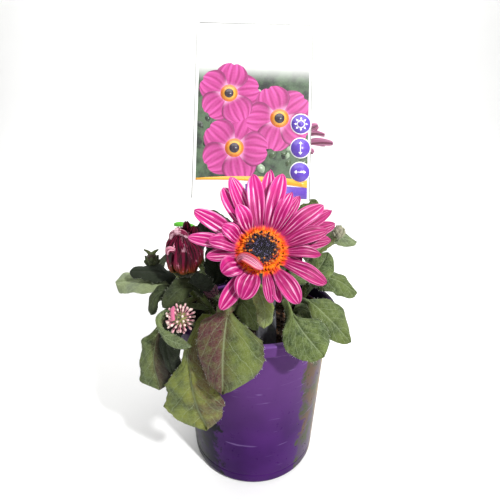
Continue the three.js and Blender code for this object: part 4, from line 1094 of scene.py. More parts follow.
def add_flames(piece, place):
    """Short ragged tongues that rise from the plate between the disc and the petals."""
    for i in range(FLAMES):
        angle = 360 * (i + 0.35 * math.sin(7 * i)) / FLAMES
        rises = ((9.8, 0.5), (12.2, 1.4), (14.6 + 1.3 * math.sin(5 * i), 0.2))
        points = [(r, 0, PLATE_HEIGHT + rise) for r, rise in rises]
        corners, faces, t, u, _ = blade(
            points, (0, 0, 1), lambda t, u: 1.15 * np.sqrt(1.02 - t), lambda t, u: -0.5 * u * u, 0.3, 8, 6)
        corners = placed(corners, place @ rotation_z(angle))
        piece.add(corners, faces, (u, 8.5 + 8 * t, 0.37 * i % 1), (0.1, 0, 0.3, 0))


def even_petals(count, length, half, tip):
    """Petals of two tiers at nearly even steps, with small differences."""
    return [
        (360 * i / count + 4 * math.sin(2.4 * i), length + 3 * math.sin(1.7 * i), half,
         tip + 2.5 * math.cos(2.1 * i), i % 2)
        for i in range(count)
    ]


def dome_height(r):
    """Height of the disc's dome at a distance from its centre."""
    return DISC_FLOOR + 1 + (DOME_HEIGHT - 1) * math.sqrt(max(0, 1 - (r / DOME_RADIUS) ** 2))


def add_closed_floret(piece, place, distance, angle, radius, light):
    """A closed floret of the middle of the disc: a small upright bead with a light tip."""
    corners, faces, t = turned([(r * radius, z) for r, z in BEAD], 7)
    spot = rotation_z(angle) @ Matrix.Translation((distance, 0, dome_height(distance)))
    spot = spot @ rotation_y(4.5 * distance)
    piece.add(placed(corners, place @ spot), faces, (0, t, 0), (0, light * smooth(t, 0.75, 1), 0, 0))


def add_open_floret(piece, place, r, angle, height, lean, orange, flame):
    """An open floret: a slim tube with five turned-back lobes and a column of anthers."""
    root = dome_height(min(r, DOME_RADIUS - 0.5)) - 1.5
    spot = place @ rotation_z(angle) @ Matrix.Translation((r, 0, root)) @ rotation_y(lean)
    throat = [(0, 0, 0), (0, 0, height / 2), (0, 0, height)]
    corners, faces, t = tube(throat, lambda s: 0.35 + 0.4 * s ** 2, 6, 7)
    piece.add(placed(corners, spot), faces, (0, t, 0), (0, 0.15, 0.35 * t, flame))
    for i in range(5):
        lobe = spot @ rotation_z(72 * i + 20) @ Matrix.Translation((0.45, 0, height - 0.1))
        corners, faces, t, _, _ = blade(
            LOBE_PATH, (0, 0, 1), lambda t, u: 0.42 * np.sqrt(1.02 - t), 0, 0.2, 3, 2)
        piece.add(placed(corners, lobe), faces, (0, t, 0), (0.25 * orange * t, 0.35 * t, 0.5, flame))
    corners, faces, t = turned(ANTHERS, 6)
    top = spot @ Matrix.Translation((0, 0, height - 0.3))
    piece.add(placed(corners, top), faces, (0, t, 0), (orange * smooth(t, 0.1, 0.5), 0, 0, 0))


def add_disc(piece, place, gap):
    """A dome of packed florets: closed ones in the middle, open ones with orange anthers round them."""
    profile = [(0, DISC_FLOOR), (DOME_RADIUS - 0.4, DISC_FLOOR)]
    profile += [(r, dome_height(r) - 0.8) for r in np.linspace(DOME_RADIUS - 0.4, 0.5, 14)]
    corners, faces, _ = turned([*profile, (0, dome_height(0) - 0.8)], 40)
    r = np.hypot(corners[:, 0], corners[:, 1])
    piece.add(placed(corners, place), faces, (0, 0, 0), (0, 0, 0, smooth(r, 8.6, 9.6)))
    for i in range(CLOSED_FLORETS):
        r = DISC_HEART * math.sqrt((i + 0.5) / CLOSED_FLORETS)
        light = float(rng.random() < LIGHT_TIP_SHARE)
        add_closed_floret(piece, place, r, GOLDEN_ANGLE * i, 0.58 + 0.02 * r, light)
    for r, count, height, lean, flame in DISC_RINGS:
        for i in range(count):
            angle = (360 * (i + 0.3 * math.sin(5 * i + r)) / count) % 360
            if gap[0] < angle < gap[1] and r > GAP_FROM:
                continue
            orange = float(rng.random() < 0.35 + 0.1 * (r - DISC_RINGS[0][0]))
            burning = float(rng.random() < flame)
            add_open_floret(piece, place, r, angle, height, lean + rng.uniform(-9, 9), orange, burning)


def add_involucre(piece, place, bracts):
    """The green cup behind a bloom, covered with overlapping bracts."""
    profile = [(0, -9), (3, -9), (6, -7.4), (8.5, -5.5), (10, -3.2), (10.2, -1.6), (9.5, -0.4), (0, -0.4)]
    piece.add_turned(profile, 36, place, CUP_SKIN, (0.2, 0, 0, 0))
    add_bracts(piece, place, bracts, 2.4, [
        ((6.2, -7.8), 6.5, 62, (0.15, 0, 0, 0)),
        ((8.4, -6.1), 6.5, 48, (0.15, 0, 0, 0)),
        ((9.8, -3.8), 6, 50, (0.5, 0, 0, 0)),
    ])


def stalk_points(bloom, neck):
    """Path of a stalk from below the soil to its neck behind the bloom."""
    outward = unit(np.array(bloom["normal"], float))
    ends = [tuple(np.array(bloom["centre"]) - outward * distance) for distance in (neck + 3, neck)]
    return [*rooted(bloom["foot"], bloom["path"]), *ends]


def make_stalk(name, bloom, radius, neck, hairs, paint, cup):
    """A hairy stalk. cup adds what sits at its top."""
    piece = Piece(name + "_skin")
    points = stalk_points(bloom, neck)
    corners, faces, t = tube(points, lambda s: radius * (1.05 - 0.15 * np.sin(np.pi * s)), 70, 14)
    piece.add(corners, faces, (0, t, 0), (0.35 * smooth(t, 0.6, 0.2), 0, 0, 0))
    cup(piece)
    hairs.along(points, radius, STALK_HAIRS, STALK_HAIR)
    piece.make(paint, "stalk", name)


def make_open_bloom(prefix, bloom, petals, gap, folded, bracts, paints, hairs):
    place = face_frame(bloom["centre"], bloom["normal"])
    rays = Piece(prefix + "_rays")
    for one in petals:
        add_petal(rays, place, *one)
    if folded:
        add_folded_petal(rays, place)
    add_plate(rays, place)
    add_flames(rays, place)
    rays.make(paints["petal"], "petal", prefix + "_petals")
    disc = Piece(prefix + "_florets")
    add_disc(disc, place, gap)
    disc.make(paints["floret"], "disc_floret", prefix + "_disc")
    make_stalk(prefix + "_stalk", bloom, BLOOM_STALK, 6, hairs, paints["stalk"],
               lambda piece: add_involucre(piece, place, bracts))


# Tiers of furled petals of the closed bloom. turn is the first petal's angle, and the light share is how
# much painted highlight its petals get
CLOSED_TIERS = [
    dict(count=7, half=6.4, turn=0, step=360 / 7, painted_light_and_fold=0.8,
         path=[(3, 0, 1), (10.5, 0, 5.5), (12.6, 0, 15), (9.8, 0, 27), (4.5, 0, 34.5)]),
    dict(count=5, half=6, turn=26, step=72, painted_light_and_fold=0.3,
         path=[(3, 0, 2.5), (8, 0, 9), (10.2, 0, 18), (7.8, 0, 29), (2.5, 0, 34.5)]),
]
# Loose ends of its petals: two dark tips that stand up, a crumpled pale fold and a fold made pale with
# painted highlight
LOOSE_ENDS = [
    dict(path=[(3.2, 3, 23), (3.4, 3, 30), (3.6, 3, 36), (3.8, 3, 41.4)], half=3, painted_light_and_fold=0),
    dict(path=[(6.2, 1, 22.6), (7.7, 1, 29), (8.8, 1, 34), (9.5, 1, 38.8)], half=4.4, painted_light_and_fold=0),
    dict(path=[(-7.5, -3, 29), (-6, -3, 35), (-2, -3.4, 37.6), (2, -3.4, 36), (4.6, -3.6, 31)], half=2.4,
         painted_light_and_fold=1.12),
    dict(path=[(-8.5, -6, 18), (-9, -7.5, 23), (-7.5, -9, 27), (-4, -10, 28)], half=2.6, painted_light_and_fold=1.0),
]


def make_closed_bloom(paints, hairs):
    place = face_frame(CLOSED_BLOOM["centre"], CLOSED_BLOOM["normal"])
    piece = Piece("closed_bloom_rays")
    core = [(0, 0.4), (5, 0.6), (8.6, 7), (9.2, 16), (6.4, 27), (3, 32), (0, 33)]
    corners, faces, t = turned(core, 24)
    piece.add(placed(corners, place), faces, (0.3, 40, 0), (0.5 + 0.5 * t, 0, 0, 0))
    for tier in CLOSED_TIERS:
        for i in range(tier["count"]):
            seed = rng.random()
            half = tier["half"]
            path = [(x + rng.uniform(-0.8, 0.8), y, z + rng.uniform(-1.6, 1.6)) for x, y, z in tier["path"]]
            painted_light_and_fold = tier["painted_light_and_fold"] * (0.3 + (0.618 * i + 0.4) % 1)

            def lift(t, u):
                wrap = (0.5 * half * u * u + 0.9 * u) * np.sin(np.pi * t)
                broad = 0.9 * np.sin(6 * t + 7 * seed + 3 * u) * np.abs(u)
                small = 0.3 * np.sin(17 * u + 9 * t + 5 * seed)
                return wrap - (broad + small) * smooth(t, 0.1, 0.5)

            corners, faces, t, u, _ = blade(path, (-1, 0, 0.15), petal_width(half), lift, thin, 40, 18)
            turn = rotation_z(tier["turn"] + tier["step"] * i)
            piece.add(placed(corners, place @ turn), faces, (u, 40, seed), (t, 0, painted_light_and_fold, 0))
    for end in LOOSE_ENDS:
        corners, faces, _, u, _ = blade(
            end["path"], (0, -1, 0.3), petal_width(end["half"]),
            lambda t, u: flute(t, u) - 1.4 * u * u, thin, 30, 14)
        piece.add(placed(corners, place), faces, (u, 40, rng.random()), (1, 0, end["painted_light_and_fold"], 0))
    piece.make(paints["closed"], "petal", "closed_bloom_petals")

    def cup(piece):
        profile = [(0, -6), (2.5, -6), (5, -4.7), (7, -3), (7.6, -1.5), (7.5, -0.4), (0, -0.4)]
        piece.add_turned(profile, 30, place, CUP_SKIN, (0.2, 0, 0, 0))
        look = (0.4, 0, 0, 0)
        add_bracts(piece, place, 10, 1.9, [((4.6, -5), 5, 50, look), ((7, -3.2), 5.5, 24, look)])

    make_stalk("closed_bloom_stalk", CLOSED_BLOOM, CLOSED_STALK, 3, hairs, paints["stalk"], cup)


SPENT_FLORETS = 50
# A withered petal that lies across the front head
STRAP_PATH = [(-4.6, 7, 6), (-3.8, 3, 9), (-2.6, -0.8, 9.6), (-1.6, -3.2, 9)]
# The dark head is a smaller head of the same kind that lies in shadow, and dark=1 paints it in shade
SPENT_HEADS = [
    dict(name="spent_head_front", centre=(-50, -61, 157), normal=(-0.1, -0.75, 0.65), radius=4.6, spike=5.2,
         dark=0, foot=(-37, -36), path=[(-41, -44, 142)]),
    dict(name="spent_head_dark", centre=(-31.6, -38, 167.3), normal=(0.1, -0.7, 0.7), radius=3, spike=2.2,
         dark=1, foot=(-22, -20), path=[(-24, -26, 152)]),
]


def club_radius(s):
    """Radius of a spent floret, thin below and thick near its tip."""
    return 0.34 + 0.46 * smooth(s, 0.5, 0.85) - 0.3 * smooth(s, 0.88, 1)


def make_spent_head(head, paints, hairs):
    """A ball of club-tipped florets that lean out all round."""
    name, radius, spike, dark = head["name"], head["radius"], head["spike"], head["dark"]
    place = face_frame(head["centre"], head["normal"])
    piece = Piece(name + "_florets")
    arc = np.linspace(-1.5, 1.5, 12)[1:-1]
    ball = [(0, -radius), *((radius * math.cos(a), radius * math.sin(a)) for a in arc), (0, radius)]
    piece.add_turned(ball, 20, place, (0, 0.1, 0), (dark, 0, 0, 0))
    for i in range(SPENT_FLORETS):
        tilt = math.degrees(math.acos(0.94 - 1.2 * (i + 0.5) / SPENT_FLORETS))
        lean = place @ rotation_z(GOLDEN_ANGLE * i) @ rotation_y(tilt)
        length = spike * rng.uniform(0.75, 1.25)
        bend = rng.uniform(-0.9, 1.2)
        points = [(0, 0, radius - 1), (bend * 0.4, 0, radius + 0.5 * length), (bend, 0, radius + length)]
        corners, faces, t = tube(points, club_radius, 10, 8)
        piece.add(placed(corners, lean), faces, (0, t, 0), (dark, 0.6 * rng.random(), 0, 0))
    if not dark:
        corners, faces, _, _, _ = blade(
            STRAP_PATH, (0, 0, 1), lambda t, u: 1.3 - 0.5 * (2 * t - 1) ** 4,
            lambda t, u: 0.3 * np.sin(9 * t) - 0.5 * u * u, 0.4, 24, 8)
        piece.add(placed(corners, place), faces, (0, 0.6, 0), (0, 1, 0, 0))
    piece.make(paints["spent"], "spent_floret", name)

    def cup(piece):
        look = (0.3, 0, 0, 0)
        add_bracts(piece, place, 9, 1.2, [
            ((0.55 * radius, -1.75 * radius), 0.9 * radius, 40, look),
            ((0.9 * radius, -1.3 * radius), 0.9 * radius, 20, look),
        ])
        profile = [(0, -4), (1.8, -4), (0.9 * radius, -1.2), (0.7 * radius, -0.4), (0, -0.4)]
        piece.add_turned([(r, z - radius) for r, z in profile], 24, place, CUP_SKIN, look)

    make_stalk(name + "_stalk", head, HEAD_STALK, radius + 2, hairs, paints["stalk"], cup)


# Pot and soil

POT_SIDES = 180
# Height of the line scribed round the wall, and its section: rise and depth
POT_LINE = 10
LINE_SECTION = ((-3, 0), (-0.9, 0), (-0.6, 0.02), (-0.3, 0.3), (0.3, 0.3), (0.6, 0.02), (0.9, 0), (3, 0))
CUTTER_DEPTH = 8
SOIL_RINGS = 70
SOIL_SIDES = 200
CRUMBS = 2600
BARK_SHARE = 0.12
PERLITE_SHARE = 0.012


def pot_profile():
    """From the middle of the foot up the outside, over the lip and down the inside."""
    shoulder = POT_HEIGHT - RIM_BAND
    slope = (WALL_TOP_RADIUS - FOOT_RADIUS) / (shoulder - FOOT_ROUNDING)
    rounding = [
        (FOOT_RADIUS - FOOT_ROUNDING * (1 - math.sin(a)), FOOT_ROUNDING * (1 - math.cos(a)))
        for a in np.linspace(0, math.pi / 2, 8)
    ]
    r = FOOT_RADIUS + slope * (POT_LINE - FOOT_ROUNDING)
    wall = [(r + slope * rise - depth, POT_LINE + rise) for rise, depth in LINE_SECTION]
    fillet = [(WALL_TOP_RADIUS - 0.1, shoulder - 2.5), (WALL_TOP_RADIUS, shoulder - 0.5),
              (WALL_TOP_RADIUS + 0.6, shoulder), (RIM_RADIUS - 0.9, shoulder)]
    band = [(RIM_RADIUS - 0.3, shoulder + 0.3), (RIM_RADIUS, shoulder + 1),
            (RIM_RADIUS - 0.25, shoulder + 4), (RIM_RADIUS, POT_HEIGHT - 1.6)]
    lip = [(RIM_RADIUS - 1.4 + 1.4 * math.cos(a), POT_HEIGHT - 1.4 + 1.4 * math.sin(a))
           for a in np.linspace(0.1, math.pi / 2, 7)]
    inside = [(RIM_RADIUS - LIP_WIDTH + 0.6, POT_HEIGHT), (RIM_RADIUS - LIP_WIDTH, POT_HEIGHT - 0.6),
              (WALL_TOP_RADIUS - WALL, shoulder - 4), (FOOT_RADIUS - WALL, WALL + 2),
              (FOOT_RADIUS - WALL - 2, WALL)]
    return [(0, 0), *rounding, *wall, *fillet, *band, *lip, *inside, (0, WALL)]


def make_pot(paint):
    """The pot, with drain holes cut through its bottom."""
    piece = Piece("pot_shell")
    corners, faces, _ = turned(pot_profile(), POT_SIDES)
    piece.add(corners, faces)
    pot = piece.make(paint, "pot_plastic", "pot")
    for i in range(DRAIN_HOLES):
        turn = rotation_z(360 * i / DRAIN_HOLES)
        spot = (turn @ Vector((DRAIN_CIRCLE, 0, 0))) * MM
        bpy.ops.mesh.primitive_cylinder_add(
            vertices=32, radius=DRAIN_RADIUS * MM, depth=CUTTER_DEPTH * MM, location=spot)
        cutter = bpy.context.object
        cut = pot.modifiers.new("drain", "BOOLEAN")
        cut.operation = "DIFFERENCE"
        cut.object = cutter
        bpy.context.view_layer.objects.active = pot
        bpy.ops.object.modifier_apply(modifier=cut.name)
        bpy.data.objects.remove(cutter)


def lump(x, y):
    """Unevenness of the soil's surface."""
    broad = np.sin(x * 0.23 + 1) * np.cos(y * 0.29)
    small = 0.5 * np.sin((x + y) * 0.61)
    crumb = 0.5 * np.sin(1.7 * x + 2 * np.sin(0.9 * y)) * np.sin(1.9 * y + 2 * np.cos(0.8 * x))
    return SOIL_LUMP * (broad + small) + 0.7 * crumb


def make_soil(paint):
    wall = WALL_TOP_RADIUS - WALL - SOIL_WALL_GAP - 0.4
    slope = (WALL_TOP_RADIUS - FOOT_RADIUS) / (POT_HEIGHT - RIM_BAND - FOOT_ROUNDING)
    foot = FOOT_RADIUS - WALL - SOIL_WALL_GAP - 2.4
    profile = [(0, WALL + 0.4), (foot, WALL + 0.4), (foot + 2, 5)]
    profile += [(wall - slope * (SOIL_TOP - z), z) for z in (60, SOIL_TOP - 3, SOIL_TOP - 1)]
    profile += [((wall - 1) * (1 - k / SOIL_RINGS), SOIL_TOP) for k in range(SOIL_RINGS)]
    corners, faces, _ = turned([*profile, (0, SOIL_TOP)], SOIL_SIDES)
    top = corners[:, 2] > SOIL_TOP - 0.5
    corners[top, 2] += lump(corners[top, 0], corners[top, 1])
    piece = Piece("soil_fill")
    piece.add(corners, faces)
    for _ in range(CRUMBS):
        r = (wall - 2) * math.sqrt(rng.random())
        angle = rng.uniform(0, 2 * math.pi)
        x, y = r * math.cos(angle), r * math.sin(angle)
        size = rng.uniform(0.5, 1.3) if rng.random() < 0.85 else rng.uniform(1.3, 2.6)
        bark = float(rng.random() < BARK_SHARE)
        white = float(rng.random() < PERLITE_SHARE)
        add_crumb(piece, (x, y, SOIL_TOP + lump(x, y) + 0.2 * size), size, bark, white)
    piece.make(paint, "soil", "soil")


def add_crumb(piece, centre, size, bark, white):
    """An irregular crumb, or a flat long bit of bark."""
    profile = [(0, -1), (0.75, -0.65), (1, 0), (0.7, 0.7), (0, 1)]
    corners, faces, _ = turned(profile, 6)
    corners = corners * rng.uniform(0.75, 1.25, (len(corners), 1)) * size
    if bark:
        corners = corners * np.array([1.9, 0.8, 0.35])
    turn = Matrix.Rotation(rng.uniform(0, 6.28), 4, "Z")
    turn = turn @ Matrix.Rotation(rng.uniform(-0.4, 0.4), 4, "X")
    piece.add(placed(corners, Matrix.Translation(centre) @ turn), faces, (0, 0, 0), (bark, white, 0, 0))


# Label

STAKE_PATH = [(9, -49, 88), (9, -49, 104), (9, -49, 118), (9, -47.5, 130),
              (8.6, -41, 150), (7.8, -27, 194), (7.2, -17.1, 226.4)]
STAKE_HALF = 7.5
STAKE_RIDGE = 3
STAKE_ON_CARD = 9.6
BLOCK_ROUNDING = 0.35
INK_LAYER = 0.05
# The printed field on the card: left, right, low and high
FIELD = (-41, 41.5, 17, 108)
# Heights of the three round signs
BADGES = (59, 41, 23)
BADGE_X = 36
BADGE_RADIUS = 7.8
WHITE = "#FFFFFF"
BADGE_INK = "#5A35B4"
PRINTED_LEAVES = 46
PRINTED_GREENS = ("#1E2A1C", "#2C3D28", "#46593A", "#6C8160", "#93A68A")
EDGE_LINE = 0.55
EDGE_INSET = 0.1
# Printed blossoms: place on the card, size and turn
BLOSSOMS = [(-18, 81, 23, 10), (20, 63, 25, 40), (-13, 40, 25, 70)]


def card_frame():
    """The frame of the card: its lower edge, +Y up its face and +Z out of its printed face."""
    lean = Matrix.Rotation(math.radians(90 - LABEL_LEAN), 4, "X")
    return Matrix.Translation(CARD_BOTTOM) @ lean @ Matrix.Rotation(math.radians(-CARD_ROLL), 4, "Z")


def add_ink(piece, outline, layer, colour):
    """A flat printed shape: a closed outline on the card's face, as a slip of ink."""
    outline = np.array(outline, float)
    count = len(outline)
    top = CARD_THICKNESS / 2 + INK_LAYER * layer
    upper = np.column_stack([outline, np.full(count, top)])
    lower = np.column_stack([outline, np.full(count, top - INK_LAYER)])
    sides = [[i + count, (i + 1) % count + count, (i + 1) % count, i] for i in range(count)]
    faces = [list(range(count)), list(range(2 * count - 1, count - 1, -1)), *sides]
    corners = placed(np.concatenate([upper, lower]), card_frame())
    piece.add(corners, faces, (0, 0, 0), ink(colour))


def add_round(piece, x, y, radius, layer, colour):
    turn = np.linspace(0, 2 * np.pi, 48, endpoint=False)
    add_ink(piece, np.column_stack([x + radius * np.cos(turn), y + radius * np.sin(turn)]), layer, colour)


def add_sheet(piece, points, layer, colours, foliage=0, fade=0):
    """A printed grid of corners, with one colour or a colour for each corner."""
    rows, columns, _ = points.shape
    flat = points.reshape(-1, 2)
    upper = np.column_stack([flat, np.full(len(flat), CARD_THICKNESS / 2 + INK_LAYER * layer)])
    piece.add(placed(upper, card_frame()), grid_faces(rows - 1, columns - 1), (foliage, fade, 0), colours)


def swung(x, y, turn, along, across):
    """Where a point of a shape lies on the card, when the shape is turned and its middle put at x, y."""
    c, s = math.cos(turn), math.sin(turn)
    return x + along * c - across * s, y + along * s + across * c


def field_foot(span):
    """Height of the arched lower edge of the printed field, at a share of its width."""
    return FIELD[2] + 4 * np.sin(np.pi * (0.15 + 0.7 * span)) - 2


def make_label(card, inks, stake):
    """Gives the card its gloss, prints on it and adds its stake."""
    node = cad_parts["label_card"]
    node.data.materials.clear()
    node.data.materials.append(card)
    piece = Piece("label_print")
    left, right, low, high = FIELD
    share, span = np.meshgrid(np.linspace(0, 1, 41), np.linspace(0, 1, 25), indexing="ij")
    foot = field_foot(span)
    points = np.stack([left + (right - left) * span, foot + (high - foot) * share], axis=-1)
    fade = smooth(share.ravel(), 0.78, 1.0)
    add_sheet(piece, points, 1, ink("#445540"), 1, fade)
    add_card_edge(piece)
    for i in range(PRINTED_LEAVES):
        add_printed_leaf(piece, rng.uniform(left, right), rng.uniform(low + 4, high - 22), 1.1 + 0.005 * i)
    for blossom in BLOSSOMS:
        add_blossom(piece, *blossom)
    arc = np.linspace(0, 1, 20)
    across = left + (right - left) * arc
    band_low = np.column_stack([across, field_foot(arc) - 1.5 - 4 * arc])
    band_high = np.column_stack([across, field_foot(arc)])
    add_ink(piece, np.concatenate([band_low, band_high[::-1]]), 3, "#F0A81E")
    add_ink(piece, [(-4, 3), (right, 3), (right, 11.5), (-4, 13.5)], 2, "#5A35A8")
    for y, icon in zip(BADGES, (add_sun, add_upright_arrow, add_level_arrow)):
        add_round(piece, BADGE_X, y, BADGE_RADIUS, 3, WHITE)
        add_round(piece, BADGE_X, y, BADGE_RADIUS - 0.7, 4, BADGE_INK)
        icon(piece, BADGE_X, y)
    piece.make(inks, "label_plastic")
    make_stake(stake)


def add_card_edge(piece):
    """A grey hairline of painted shade along the sides and the top of the card, where its cut edge catches
    less light.
    """
    x, top = CARD_WIDTH / 2 - EDGE_INSET, CARD_HEIGHT - EDGE_INSET
    left = (-x, 2, EDGE_LINE - x, top - 2)
    right = (x - EDGE_LINE, 2, x, top - 2)
    upper = (2 - x, top - EDGE_LINE, x - 2, top)
    for x0, y0, x1, y1 in (left, right, upper):
        add_ink(piece, [(x0, y0), (x1, y0), (x1, y1), (x0, y1)], 1, "#8C8C88")


def add_printed_leaf(piece, x, y, layer):
    """A pointed leaf of the printed foliage, in one of its greens."""
    turn, size = rng.uniform(0, 2 * math.pi), rng.uniform(4, 9)
    share = np.linspace(0, 1, 9)
    width = 0.32 * size * np.sin(np.pi * share ** 0.8)
    reach = size * (share - 0.5)
    along = np.concatenate([reach, reach[-2:0:-1]])
    across = np.concatenate([-width, width[-2:0:-1]])
    px, py = swung(x, y, turn, along, across)
    outline = np.column_stack([np.clip(px, FIELD[0], FIELD[1]), py])
    add_ink(piece, outline, layer, PRINTED_GREENS[rng.integers(5)])


def add_blossom(piece, x, y, size, turn):
    """A simple five-petal blossom, pale at its heart, with an orange ring and a dark eye."""
    pale, deep, mid = (np.array(ink(c)) for c in ("#F0A8D2", "#9C0E68", "#E25CB0"))
    share, u = np.meshgrid(np.linspace(0, 1, 14), np.linspace(-1, 1, 33), indexing="ij")
    for i in range(5):
        reach = size * (0.12 + 0.88 * share * (1 - 0.10 * u * u - 0.06 * np.exp(-((u / 0.2) ** 2)) * share))
        spread = 0.62 * size * np.sin(np.pi * (0.08 + 0.72 * share)) ** 0.9 * u * 0.85
        px, py = swung(x, y, math.radians(turn + 72 * i), reach, spread)
        points = np.stack([np.clip(px, FIELD[0], FIELD[1]), py], axis=-1)
        edge = 0.5 + 0.3 * np.cos(15 * u + 3 * share + i) + 0.2 * np.cos(27 * u + i)
        tone = deep + (mid - deep) * (edge * (0.3 + 0.7 * share))[..., None]
        tone = tone * (1 - 0.5 * np.abs(u) ** 8 - 0.25 * (1 - share) * np.abs(u))[..., None]
        tone = tone + (pale - tone) * (smooth(1 - share, 0.72, 0.98))[..., None]
        add_sheet(piece, points, 1.4 + 0.1 * i, tuple(tone.reshape(-1, 4).T))
    add_round(piece, x, y, 0.28 * size, 2.2, "#E8741A")
    add_round(piece, x, y, 0.21 * size, 2.5, "#F2A52C")
    add_round(piece, x, y, 0.15 * size, 2.8, "#2C1A2E")


def add_sun(piece, x, y):
    """A round sun with eight rays."""
    for i in range(8):
        ray = [swung(x, y, math.radians(45 * i), a, b) for a, b in ((3.4, -0.9), (5.4, 0), (3.4, 0.9))]
        add_ink(piece, ray, 5, WHITE)
    add_round(piece, x, y, 3, 5, WHITE)
    add_round(piece, x, y, 2.3, 6, BADGE_INK)


def add_arrow(piece, x, y, length, upright):
    """A thin bar with an arrowhead at each end."""
    half, head, thick = length / 2, 2, 0.3
    bar = [(head - half, -thick), (half - head, -thick), (half - head, thick), (head - half, thick)]
    right = [(half - head, -1.5), (half, 0), (half - head, 1.5)]
    left = [(head - half, 1.5), (-half, 0), (head - half, -1.5)]
    for shape in (bar, right, left):
        if upright:
            shape = [(-b, a) for a, b in shape]
        add_ink(piece, [(x + a, y + b) for a, b in shape], 5, WHITE)


def add_upright_arrow(piece, x, y):
    add_arrow(piece, x, y, 10, True)


def add_level_arrow(piece, x, y):
    add_arrow(piece, x, y, 9, False)


def add_block(piece, low, high, place):
    """A box with softened edges, given by two corners."""
    low, high = np.array(low, float), np.array(high, float)
    mid, half = (low + high) / 2, (high - low) / 2
    sizes = 1 - BLOCK_ROUNDING / half
    levels = [np.array([-1, -s, s, 1]) for s in sizes]
    corners, faces, count = [], [], 0
    for axis in range(3):
        for sign in (-1, 1):
            a, b = [k for k in range(3) if k != axis]
            grid_a, grid_b = np.meshgrid(levels[a], levels[b], indexing="ij")
            spots = np.zeros((16, 3))
            spots[:, a], spots[:, b], spots[:, axis] = grid_a.ravel(), grid_b.ravel(), sign
            quads = grid_faces(3, 3) + count
            flip = (sign > 0) == (axis == 1)
            faces.append(quads[:, ::-1] if flip else quads)
            corners.append(spots)
            count += 16
    spots = np.concatenate(corners)
    inner = np.clip(spots, -sizes, sizes) * half
    outward = spots * half - inner
    length = np.linalg.norm(outward, axis=1, keepdims=True)
    rounded = inner + outward / np.maximum(length, 1e-9) * np.minimum(length, BLOCK_ROUNDING)
    piece.add(placed(mid + rounded, place), np.concatenate(faces))


def make_stake(paint):
    piece = Piece("label_stake_moulding")

    def half(t, u):
        return np.maximum(1.2, STAKE_HALF * np.minimum(1, 0.15 + t * 4.2))

    def lift(t, u):
        ends = np.minimum(1, t * 5) * np.minimum(1, (1 - t) * 8)
        rib = 0.5 * np.exp(-(((np.abs(u) - 0.8) / 0.08) ** 2))
        return (STAKE_RIDGE * (0.5 - np.abs(u)) + rib) * ends

    corners, faces, _, _, _ = blade(
        STAKE_PATH, (0, -0.95, 0.3), half, lift, lambda t, u: 1.3 + 0.2 * u * u, 80, 28)
    piece.add(corners, faces)
    place = card_frame() @ Matrix.Translation((STAKE_ON_CARD, 0, 0))
    face = CARD_THICKNESS / 2 + 0.4
    add_block(piece, (-7, -4, -face - 1.2), (7, 38, -face), place)
    add_block(piece, (-7, -4, face), (7, 8, face + 1.2), place)
    add_block(piece, (-7, -4, -face - 1.2), (7, -0.4, face + 1.2), place)
    piece.make(paint, "stake_plastic", "label_stake")


# Stage

CAMERA_PLACE = (-3.1, -271.5, 272.5)
CAMERA_PITCH = 17.52
CAMERA_LENS = 25.0
SENSOR_WIDTH = 36
ROOM_LIGHT = 0.29
# Area lights: name, place and aim in metres, width and power
LIGHTS = [
    ("key", (0.62, -0.78, 0.98), (0, 0, 0.18), 0.09, 20),
    ("fill", (-0.9, -0.6, 0.5), (0, 0, 0.18), 0.9, 1.2),
    ("wall", (0, 0.9, 2.3), (0, 2.3, 0.4), 2.5, 60),
]


def make_stage():
    """Floor, camera, room light and lamps of the picture."""
    make_sweep()
    camera = bpy.data.objects.new("camera", bpy.data.cameras.new("camera"))
    bpy.context.scene.collection.objects.link(camera)
    camera.location = Vector(CAMERA_PLACE) * MM
    camera.rotation_euler = (math.radians(90 - CAMERA_PITCH), 0, 0)
    camera.data.lens = CAMERA_LENS
    camera.data.sensor_width = SENSOR_WIDTH
    camera.data.clip_start = 0.01
    bpy.context.scene.camera = camera
    world = bpy.data.worlds.new("studio")
    world.use_nodes = True
    background = world.node_tree.nodes["Background"]
    background.inputs["Color"].default_value = (1, 1, 1, 1)
    background.inputs["Strength"].default_value = ROOM_LIGHT
    bpy.context.scene.world = world
    for light in LIGHTS:
        add_light(*light)
    bpy.context.scene.view_settings.view_transform = "Standard"


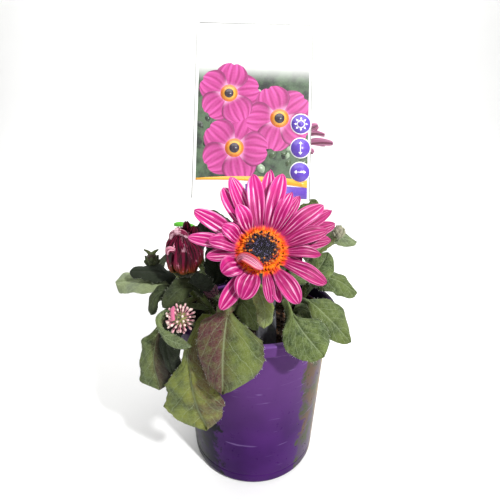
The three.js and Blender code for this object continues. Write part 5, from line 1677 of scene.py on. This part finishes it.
def make_sweep():
    """A pale floor that curves up into a wall far behind."""
    turn = np.linspace(0, math.pi / 2, 16)
    profile = [(-2.5, 0), (1.2, 0), *((1.2 + np.sin(a), 1 - np.cos(a)) for a in turn[1:]), (2.2, 3.5)]
    corners = [(x, y, z) for y, z in profile for x in (-3.5, 3.5)]
    mesh = bpy.data.meshes.new("floor")
    mesh.from_pydata(corners, [], grid_faces(len(profile) - 1, 1)[:, ::-1].tolist())
    mesh.materials.append(grained_paint("floor_pale", 0.9, 3, "#F4F4F3", "#FAFAF9"))
    mesh.polygons.foreach_set("use_smooth", [True] * len(mesh.polygons))
    floor = bpy.data.objects.new("floor", mesh)
    bpy.context.scene.collection.objects.link(floor)
    return floor


def add_light(name, place, aim, size, power):
    light = bpy.data.objects.new(name, bpy.data.lights.new(name, "AREA"))
    light.data.size = size
    light.data.energy = power
    light.location = place
    light.rotation_euler = (Vector(aim) - Vector(place)).to_track_quat("-Z", "Y").to_euler()
    bpy.context.scene.collection.objects.link(light)


def main():
    make_stage()
    hairs = Hairs("plant_hairs")
    paints = {
        "petal": petal_paint(),
        "closed": closed_paint(),
        "floret": floret_paint(),
        "stalk": stalk_paint(),
        "spent": spent_paint(),
    }
    make_leafy_stems(leaf_paint(), hairs)
    make_open_bloom("front_bloom", FRONT_BLOOM, OPEN_PETALS, FOLDED_GAP, True, 14, paints, hairs)
    make_open_bloom("back_bloom", BACK_BLOOM, even_petals(16, 44, 7, 4), NO_GAP, False, 12, paints, hairs)
    make_closed_bloom(paints, hairs)
    for head in SPENT_HEADS:
        make_spent_head(head, paints, hairs)
    hairs.make(grained_paint("hair_down", 0.6, 300, "#C3CBAE", "#E3E6D6", Sheen_Weight=0.5), "leaf")
    make_pot(pot_paint())
    make_soil(soil_paint())
    card = grained_paint("card_gloss", 0.3, 500, "#E4E4E2", "#EFEFED", 0.03, 0.3, Coat_Weight=0.2)
    stake = grained_paint("stake_black", 0.24, 420, "#363639", "#606066", 0.15, 0.4)
    make_label(card, print_paint(), stake)


main()
